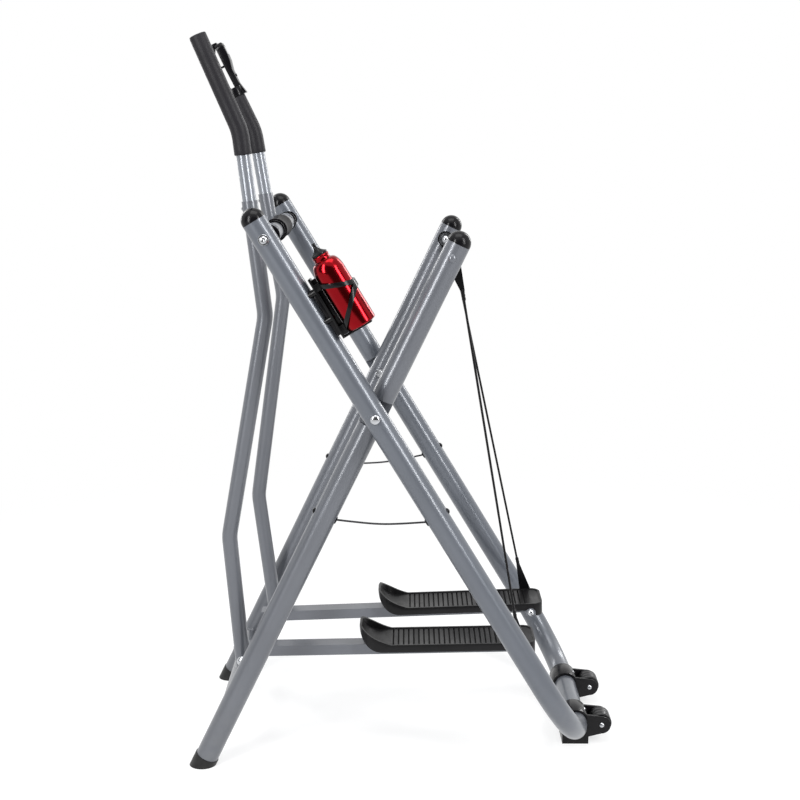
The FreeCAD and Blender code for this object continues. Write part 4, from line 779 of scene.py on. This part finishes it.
def bottleProfile():
    radius, foot, neck, dent = (bottleSpec[key] for key in ("radius", "foot", "neck", "dent"))
    points = [(0.0, dent), (radius * bottleSpec["dentShare"], bottleSpec["dentEdge"])]
    points.append((radius - foot - bottleSpec["standWidth"], 0.0))
    for step in range(bottleSpec["footSteps"] + 1):
        angle = math.radians(90 * step / bottleSpec["footSteps"])
        points.append((radius - foot + foot * math.sin(angle), foot - foot * math.cos(angle)))
    points += [(radius, bottleSpec["body"] * share) for share in bottleSpec["bodyRings"]]
    # The shoulder: a quarter of an ellipse that turns up into the neck.
    acrossPower, upPower = bottleSpec["shoulderPowers"]
    rise = bottleSpec["shoulder"] * bottleSpec["shoulderShare"]
    for step in range(1, bottleSpec["shoulderSteps"]):
        angle = math.radians(90 * step / bottleSpec["shoulderSteps"])
        across = neck + (radius - neck) * math.cos(angle) ** acrossPower
        points.append((across, bottleSpec["body"] + rise * math.sin(angle) ** upPower))
    points += [(neck + bottleSpec["neckFlare"], shoulderTop), (neck, shoulderTop + bottleSpec["neckStart"])]
    points += [(neck + out, neckTop - down) for out, down in bottleSpec["rim"]]
    return points


bm = bmesh.new()
lathe(bm, bottleProfile(), bottlePlace, steps=96)
addPiece(bm, "bottleBody", "bottle", "anodisedRed", ("bottle",), sharpAngle=50)

# Moulded webs that fill the cage's back, from the leg to the plate and on towards the bottle.
# Each run is (from, to, bottom, top) in the bottle's own place.
webSpec = {
    "thick": 0.006, "edge": 0.0008,
    "runs": ((-0.0523, -0.040, 0.004, 0.100), (-0.043, -0.0308, 0.004, 0.122)),
}
bm = bmesh.new()
for left, right, low, high in webSpec["runs"]:
    centre = Matrix.Translation(((left + right) / 2, 0, (low + high) / 2))
    spread = Matrix.Diagonal((right - left, webSpec["thick"], high - low, 1))
    bmesh.ops.create_cube(bm, size=1, matrix=bottlePlace @ centre @ spread)
softenEdges(bm, webSpec["edge"])
addPiece(bm, "cageWebs", "rear_frame", "mouldedPlastic")

# Stopper. The collar is (radius, up from the neck's top), the knob (radius, down from the stopper's top).
stopperSpec = {
    "length": 0.026, "plugDepth": 0.006,
    "collar": ((0.0142, 0.0002), (0.0156, 0.0003), (0.0160, 0.0010), (0.0160, 0.0038)),
    "stemFoot": 0.0156, "stemTop": 0.0032, "stemUp": 0.0040, "stemLength": 0.0185, "stemPower": 2.4,
    "stemSteps": 10,
    "knob": ((0.0036, 0.0022), (0.0038, 0.0014), (0.0034, 0.0004), (0.0026, 0), (0, 0)),
}


def stopperProfile():
    foot = neckTop - stopperSpec["plugDepth"]
    top = neckTop + stopperSpec["length"]
    points = [(0, foot), (stopperSpec["collar"][0][0], foot)]
    points += [(radius, neckTop + up) for radius, up in stopperSpec["collar"]]
    stemTop, steps = stopperSpec["stemTop"], stopperSpec["stemSteps"]
    for step in range(1, steps + 1):
        share = step / steps
        radius = stemTop + (stopperSpec["stemFoot"] - stemTop) * (1 - share) ** stopperSpec["stemPower"]
        points.append((radius, neckTop + stopperSpec["stemUp"] + share * stopperSpec["stemLength"]))
    return points + [(radius, top - down) for radius, down in stopperSpec["knob"]]


bm = bmesh.new()
lathe(bm, stopperProfile(), bottlePlace, steps=96)
addPiece(
    bm, "stopperBody", "stopper", "mouldedPlastic", ("bottle_stopper",), sharpAngle=45
)
print("bottle made")

# Bolt heads. The shares are of the head's height, and of the socket's radius for its mouth and tip.
# A crown's steps are in degrees, its top is in radians.
headSpec = {
    "wallShare": 0.18, "crownAngle": 12, "crownSteps": 5, "crownPower": 0.9, "crownTop": 1.05,
    "mouthShare": 1.18, "mouthDepth": 0.0003, "socketShare": 0.5, "tipShare": 0.3, "tipDepthShare": 0.62,
}


def socketHead(bm, place, spec):
    # A button head with a six-sided socket.
    radius, height, socket = spec["head"], spec["height"], spec["socket"]
    wall = height * headSpec["wallShare"]
    rings = [(radius, 0, 0), (radius, wall, 0)]
    for step in range(1, headSpec["crownSteps"] + 1):
        angle = math.radians(headSpec["crownAngle"] * step)
        rise = math.sin(angle) / math.sin(headSpec["crownTop"])
        rings.append((radius * math.cos(angle) ** headSpec["crownPower"], wall + (height - wall) * rise, 0))
    top = rings[-1][1]
    rings.append((socket * headSpec["mouthShare"], top, 0))
    rings.append((socket, top - headSpec["mouthDepth"], 6))
    rings.append((socket, top - height * headSpec["socketShare"], 6))
    rings.append((socket * headSpec["tipShare"], top - height * headSpec["tipDepthShare"], 6))
    stackRings(bm, rings, place)


axleBoltSpec = {
    "washer": 0.0105, "washerThick": 0.0025, "washerEdge": 0.0006,
    "head": 0.008, "height": 0.006, "socket": 0.0023,
}
rearOuter = frameSpec["rear"]["halfWidth"] + frameSpec["tubeRadius"]


def axleWasherProfile():
    radius, thick, edge = (axleBoltSpec[key] for key in ("washer", "washerThick", "washerEdge"))
    outer = [(radius - edge, 0), (radius, edge), (radius, thick - edge), (radius - edge, thick)]
    return [(0, 0)] + outer + [(0, thick)]


bm = bmesh.new()
for title, side, sign in sides:
    place = placeOn(Vector((axle.x, sign * rearOuter, axle.z)), sideways * sign)
    lathe(bm, axleWasherProfile(), place, steps=40)
    socketHead(bm, place @ Matrix.Translation((0, 0, axleBoltSpec["washerThick"])), axleBoltSpec)
addPiece(bm, "axleButtonScrews", "rear_frame", "brightBolt", ("axle_bolts",), sharpAngle=30)

# Small screws in the wheel brackets' collars, between the cheeks.
collarSpec = {
    "angle": 42, "reach": 0.0298, "tube": (0.36996, 0.04824), "aside": 0.098,
    "head": 0.0036, "height": 0.0022, "socket": 0.0012,
}
collarAngle = math.radians(collarSpec["angle"])
outward = Vector((math.cos(collarAngle), 0, math.sin(collarAngle)))
bm = bmesh.new()
for title, side, sign in sides:
    tubeX, tubeZ = collarSpec["tube"]
    seat = Vector((tubeX, sign * collarSpec["aside"], tubeZ)) + outward * collarSpec["reach"]
    socketHead(bm, placeOn(seat, outward), collarSpec)
addPiece(bm, "collarScrews", "rear_frame", "brightBolt", sharpAngle=30)

# Crossing bolts: a dome outside the rear leg, and a nut inside the front leg with the bolt's end in it.
crossingSpec = {
    "head": 0.010, "height": 0.006, "rim": 0.0008, "domeSteps": 8,
    "nut": 0.0104, "nutHeight": 0.009, "nutBevel": 0.0012, "nutFoot": 0.9, "nutTop": 0.88, "nutAt": 0.1985,
    "thread": 0.006, "threadGap": 0.0004, "threadDepth": 0.0005, "pitch": 0.0007, "turns": 3,
}


def crossingDome():
    radius, height, rim = crossingSpec["head"], crossingSpec["height"], crossingSpec["rim"]
    dome = [(radius, 0), (radius, rim)]
    for step in range(1, crossingSpec["domeSteps"] + 1):
        angle = math.radians(90 * step / crossingSpec["domeSteps"])
        dome.append((radius * math.cos(angle), rim + (height - rim) * math.sin(angle)))
    return dome


def crossingNut():
    # The nut's six sides, then the thread's crests and roots above it.
    nut, tall, bevel = crossingSpec["nut"], crossingSpec["nutHeight"], crossingSpec["nutBevel"]
    thread, gap, pitch = crossingSpec["thread"], crossingSpec["threadGap"], crossingSpec["pitch"]
    rings = [(nut * crossingSpec["nutFoot"], 0, 0), (nut, bevel, 6), (nut, tall - bevel, 6)]
    rings += [(nut * crossingSpec["nutTop"], tall, 0), (thread + gap, tall, 0)]
    for turn in range(crossingSpec["turns"]):
        rings.append((thread, tall + gap + turn * pitch, 0))
        rings.append((thread - crossingSpec["threadDepth"], tall + gap + (turn + 0.5) * pitch, 0))
    return rings


bm = bmesh.new()
for title, side, sign in sides:
    headPlace = placeOn(Vector((pivot.x, sign * rearOuter, pivot.z)), sideways * sign)
    lathe(bm, crossingDome(), headPlace, steps=40)
    nutPlace = placeOn(Vector((pivot.x, sign * crossingSpec["nutAt"], pivot.z)), -sideways * sign)
    stackRings(bm, crossingNut(), nutPlace)
addPiece(bm, "crossingBolts", "rear_frame", "brightBolt", ("crossing_bolts",), sharpAngle=30)
print("bolts made")

# Weld beads where a round tube meets another tube at a right angle.
weldSpec = {
    "bead": 0.0019, "ripple": 0.14, "pointsPerRipple": 3,
    "crossbarDown": 0.722, "crossbarRadius": 0.019, "crossbarRipples": 36,
    "armRadius": 0.016, "hubRadius": 0.018, "armRipples": 30,
}


def weldBead(bm, place, branch, main, ripples):
    # The branch runs along the place's Z axis and meets a tube that runs along its X axis.
    count = ripples * weldSpec["pointsPerRipple"]
    points, radii = [], []
    for number in range(count):
        angle = 2 * math.pi * number / count
        reach = math.sqrt(max(main ** 2 - (branch * math.sin(angle)) ** 2, 0))
        points.append(place @ Vector((branch * math.cos(angle), branch * math.sin(angle), reach)))
        radii.append(weldSpec["bead"] * (1 + weldSpec["ripple"] * math.cos(ripples * angle)))
    tubeAlong(bm, points, radii, place.to_3x3() @ upright, steps=8, closed=True)


def axesPlace(origin, along, across):
    # Z along the branch, X along the main tube.
    matrix = Matrix((across, along.cross(across), along)).transposed().to_4x4()
    return Matrix.Translation(origin) @ matrix


bm = bmesh.new()
legWay = framePlaces["front"].to_3x3() @ upright
for title, side, sign in sides:
    barEnd = Vector((0, sign * frameSpec["front"]["halfWidth"], -weldSpec["crossbarDown"]))
    place = axesPlace(framePlaces["front"] @ barEnd, -sideways * sign, legWay)
    weldBead(bm, place, weldSpec["crossbarRadius"], frameSpec["tubeRadius"], weldSpec["crossbarRipples"])
addPiece(bm, "crossbarWelds", "front_frame", "frontPaint", sharpAngle=60)

for title, side, sign in sides:
    bm = bmesh.new()
    armWay = hubPlaces[side].to_3x3() @ -downward
    for direction in (1, -1):
        # The arm tube is the branch here: it leaves the hub tube above and below.
        place = axesPlace(hubPlaces[side].translation, armWay * direction, sideways)
        weldBead(bm, place, weldSpec["armRadius"], weldSpec["hubRadius"], weldSpec["armRipples"])
    addPiece(bm, "hubWelds" + title, side + "_arm", "frontPaint", sharpAngle=60)
print("welds made")

# Transport wheels with dished sides, a grooved tread and a hub.
wheelSpec = {
    "radius": 0.023, "half": 0.021, "bore": 0.0042, "hub": 0.010, "dish": 0.003, "dishSlope": 0.001,
    "rimWidth": 0.006, "rimBack": 0.0006, "corner": 0.0018, "edge": 0.0004, "sharp": 40,
    "grooves": 5, "grooveDepth": 0.0010, "treadIn": 0.003,
}


def wheelProfile():
    radius, half, hub, slope = (wheelSpec[key] for key in ("radius", "half", "hub", "dishSlope"))
    dish, rimFace = wheelSpec["dish"] - half, wheelSpec["rimBack"] - half
    rimIn = radius - wheelSpec["rimWidth"]
    flank = [(wheelSpec["bore"], -half), (hub, -half), (hub + slope, dish), (rimIn, dish)]
    flank += [(rimIn + slope, rimFace), (radius - wheelSpec["corner"], rimFace)]
    treadEnd = half - wheelSpec["treadIn"]
    bands = 2 * wheelSpec["grooves"] + 1
    tread = []
    for number in range(bands + 1):
        depth = wheelSpec["grooveDepth"] if number % 4 in (1, 2) else 0.0
        tread.append((radius - depth, 2 * treadEnd * number / bands - treadEnd))
    return flank + tread + [(across, -level) for across, level in reversed(flank)]


for title, side, sign in sides:
    bm = bmesh.new()
    place = placeOn(Vector(joints[side + "_wheel_spin"]["pos_m"]), sideways)
    lathe(bm, wheelProfile(), place, steps=64, closed=True)
    softenEdges(bm, wheelSpec["edge"], wheelSpec["sharp"])
    addPiece(
        bm, "transportWheel" + title, side + "_wheel", "wheelPlastic", ("wheel_" + side,)
    )
print("wheels made")

# Meter face: a display window in a shallow bezel.
meterSpec = {
    "lean": -23.27, "face": 0.0233, "down": 0.014, "sunk": 0.0006,
    "window": (0.024, 0.018), "windowCorner": 0.002, "windowThick": 0.0007, "windowStand": 0.0005,
    "margin": 0.006, "bezelCorner": 0.004, "bezelThick": 0.0009, "bezelEdge": 0.0003, "bezelSharp": 50,
}


def roundedPlate(bm, place, width, tall, corner, thick):
    # A plate with round corners that lies across the place's X axis.
    outline = bmesh.ops.create_grid(bm, x_segments=1, y_segments=1, size=0.5)["verts"]
    for vert in outline:
        vert.co = Vector((0, vert.co.x * width, vert.co.y * tall))
    bmesh.ops.bevel(
        bm, geom=outline, offset=corner, affect="VERTICES", segments=6, profile=0.5, material=-1
    )
    plate = max(bm.faces, key=lambda face: face.calc_area())
    lifted = bmesh.ops.extrude_face_region(bm, geom=[plate])["geom"]
    moved = [item for item in lifted if isinstance(item, bmesh.types.BMVert)]
    bmesh.ops.translate(bm, verts=moved, vec=(thick, 0, 0))
    bmesh.ops.transform(bm, matrix=place, verts=bm.verts)


meterPlace = hubPlaces["right"] @ Matrix.Translation(gripTop) @ turned(meterSpec["lean"])
facePlace = meterPlace @ Matrix.Translation((meterSpec["face"] - meterSpec["sunk"], 0, -meterSpec["down"]))
bm = bmesh.new()
bezelSize = [size + meterSpec["margin"] for size in meterSpec["window"]]
roundedPlate(bm, facePlace, *bezelSize, meterSpec["bezelCorner"], meterSpec["bezelThick"])
softenEdges(bm, meterSpec["bezelEdge"], meterSpec["bezelSharp"])
addPiece(bm, "meterBezel", "right_arm", "mouldedPlastic")
bm = bmesh.new()
windowPlace = facePlace @ Matrix.Translation((meterSpec["windowStand"], 0, 0))
roundedPlate(bm, windowPlace, *meterSpec["window"], meterSpec["windowCorner"], meterSpec["windowThick"])
addPiece(bm, "meterWindow", "right_arm", "displayGlass")
print("meter made")


# Stage tools
def grey(level):
    return (level, level, level, 1)


def bareTree(holder):
    # A material's or the world's node tree with nothing in it.
    holder.use_nodes = True
    holder.node_tree.nodes.clear()
    return holder.node_tree


def whereSeen(tree):
    # 1 for what the camera sees, straight or in gloss or glass, and 0 for light on the object.
    path = addNode(tree, "LightPath").outputs
    seen = calculate(tree, "MAXIMUM", path["Is Camera Ray"], path["Is Glossy Ray"])
    return calculate(tree, "MAXIMUM", seen, path["Is Transmission Ray"])


def connectOutput(tree, kind, shader):
    tree.links.new(shader.outputs[0], addNode(tree, kind).inputs[0])


def stagePiece(bm, name, material):
    mesh = bpy.data.meshes.new(name)
    bm.to_mesh(mesh)
    bm.free()
    mesh.materials.append(material)
    piece = bpy.data.objects.new(name, mesh)
    scene.collection.objects.link(piece)
    return piece


# Floor: white for the camera, with a soft shadow, and fading into the white world.
floorSpec = {"half": 6.0, "near": 0.7, "far": 2.2, "glow": 0.66, "color": 0.42, "bounce": 0.8}
floorMaterial = bpy.data.materials.new("paleFloor")
tree = bareTree(floorMaterial)
seen = whereSeen(tree)
distance = addNode(tree, "VectorMath", {0: objectPoint(tree)}, operation="LENGTH").outputs["Value"]
fade = mapRange(tree, distance, floorSpec["near"], floorSpec["far"], 0.0, 1.0, smooth=True)
floorColor = mixColor(tree, seen, grey(floorSpec["bounce"]), grey(floorSpec["color"]))
diffuse = addNode(tree, "BsdfDiffuse", {"Color": floorColor})
glow = addNode(tree, "Emission", {"Color": grey(1), "Strength": multiply(tree, seen, floorSpec["glow"])})
lit = addNode(tree, "AddShader", {0: diffuse.outputs[0], 1: glow.outputs[0]})
white = addNode(tree, "Emission", {"Color": grey(1), "Strength": 1.0})
faded = addNode(tree, "MixShader", {0: multiply(tree, seen, fade), 1: lit.outputs[0], 2: white.outputs[0]})
connectOutput(tree, "OutputMaterial", faded)
bm = bmesh.new()
bmesh.ops.create_grid(bm, x_segments=2, y_segments=2, size=floorSpec["half"])
stagePiece(bm, "floor", floorMaterial)

# World: white where it is seen, plain and dimmer as a light.
worldSpec = {"light": (0.93, 0.96, 1.0, 1), "strength": 0.30}
world = bpy.data.worlds.new("studio")
scene.world = world
tree = bareTree(world)
ambient = addNode(tree, "Background", {"Color": worldSpec["light"], "Strength": worldSpec["strength"]})
backdrop = addNode(tree, "Background", {"Color": grey(1), "Strength": 1.0})
blended = addNode(tree, "MixShader", {0: whereSeen(tree), 1: ambient.outputs[0], 2: backdrop.outputs[0]})
connectOutput(tree, "OutputWorld", blended)

# A dark studio wall behind the camera, which only reflections see.
wallSpec = {"radius": 6.0, "foot": -0.3, "height": 5.5, "spread": 150, "tone": 0.10, "steps": 24}
wallMaterial = bpy.data.materials.new("darkWall")
tree = bareTree(wallMaterial)
dark = addNode(tree, "Emission", {"Color": grey(1), "Strength": wallSpec["tone"]})
connectOutput(tree, "OutputMaterial", dark)
spread = math.radians(wallSpec["spread"])
foot = Vector((-math.sin(spread / 2), -math.cos(spread / 2), 0)) * wallSpec["radius"]
foot.z = wallSpec["foot"]
bm = bmesh.new()
post = [bm.verts.new(foot), bm.verts.new(foot + upright * wallSpec["height"])]
bmesh.ops.spin(
    bm, geom=post + [bm.edges.new(post)], cent=(0, 0, 0), axis=upright, dvec=(0, 0, 0),
    angle=spread, steps=wallSpec["steps"], use_merge=False,
)
wall = stagePiece(bm, "studioWall", wallMaterial)
wall.visible_camera = wall.visible_diffuse = wall.visible_shadow = wall.visible_transmission = False

# Lamps: tall soft boxes left and right of the camera, which draw the lines on the tubes.
lamps = {
    "overhead": {"place": (0.0, -0.6, 3.6), "size": (2.2, 1.6), "power": 36},
    "boxLeft": {"place": (-1.95, -2.45, 1.85), "size": (0.55, 2.3), "power": 75},
    "boxRight": {"place": (2.25, -1.95, 2.05), "size": (0.55, 2.3), "power": 75},
    "boxBack": {"place": (2.0, 2.2, 2.2), "size": (0.30, 2.2), "power": 30},
    "boxBackLeft": {"place": (-2.0, 2.2, 2.0), "size": (0.30, 2.2), "power": 22},
}
lampTarget = Vector((0, 0, 0.8))
for name, spec in lamps.items():
    lamp = bpy.data.lights.new(name, "AREA")
    lamp.shape = "RECTANGLE"
    lamp.size, lamp.size_y = spec["size"]
    lamp.energy = spec["power"]
    lampObject = bpy.data.objects.new(name, lamp)
    lampObject.location = spec["place"]
    aim = lampTarget - Vector(spec["place"])
    lampObject.rotation_euler = aim.to_track_quat("-Z", "Y").to_euler()
    lampObject.visible_camera = False
    scene.collection.objects.link(lampObject)
print("floor, world and lamps set")
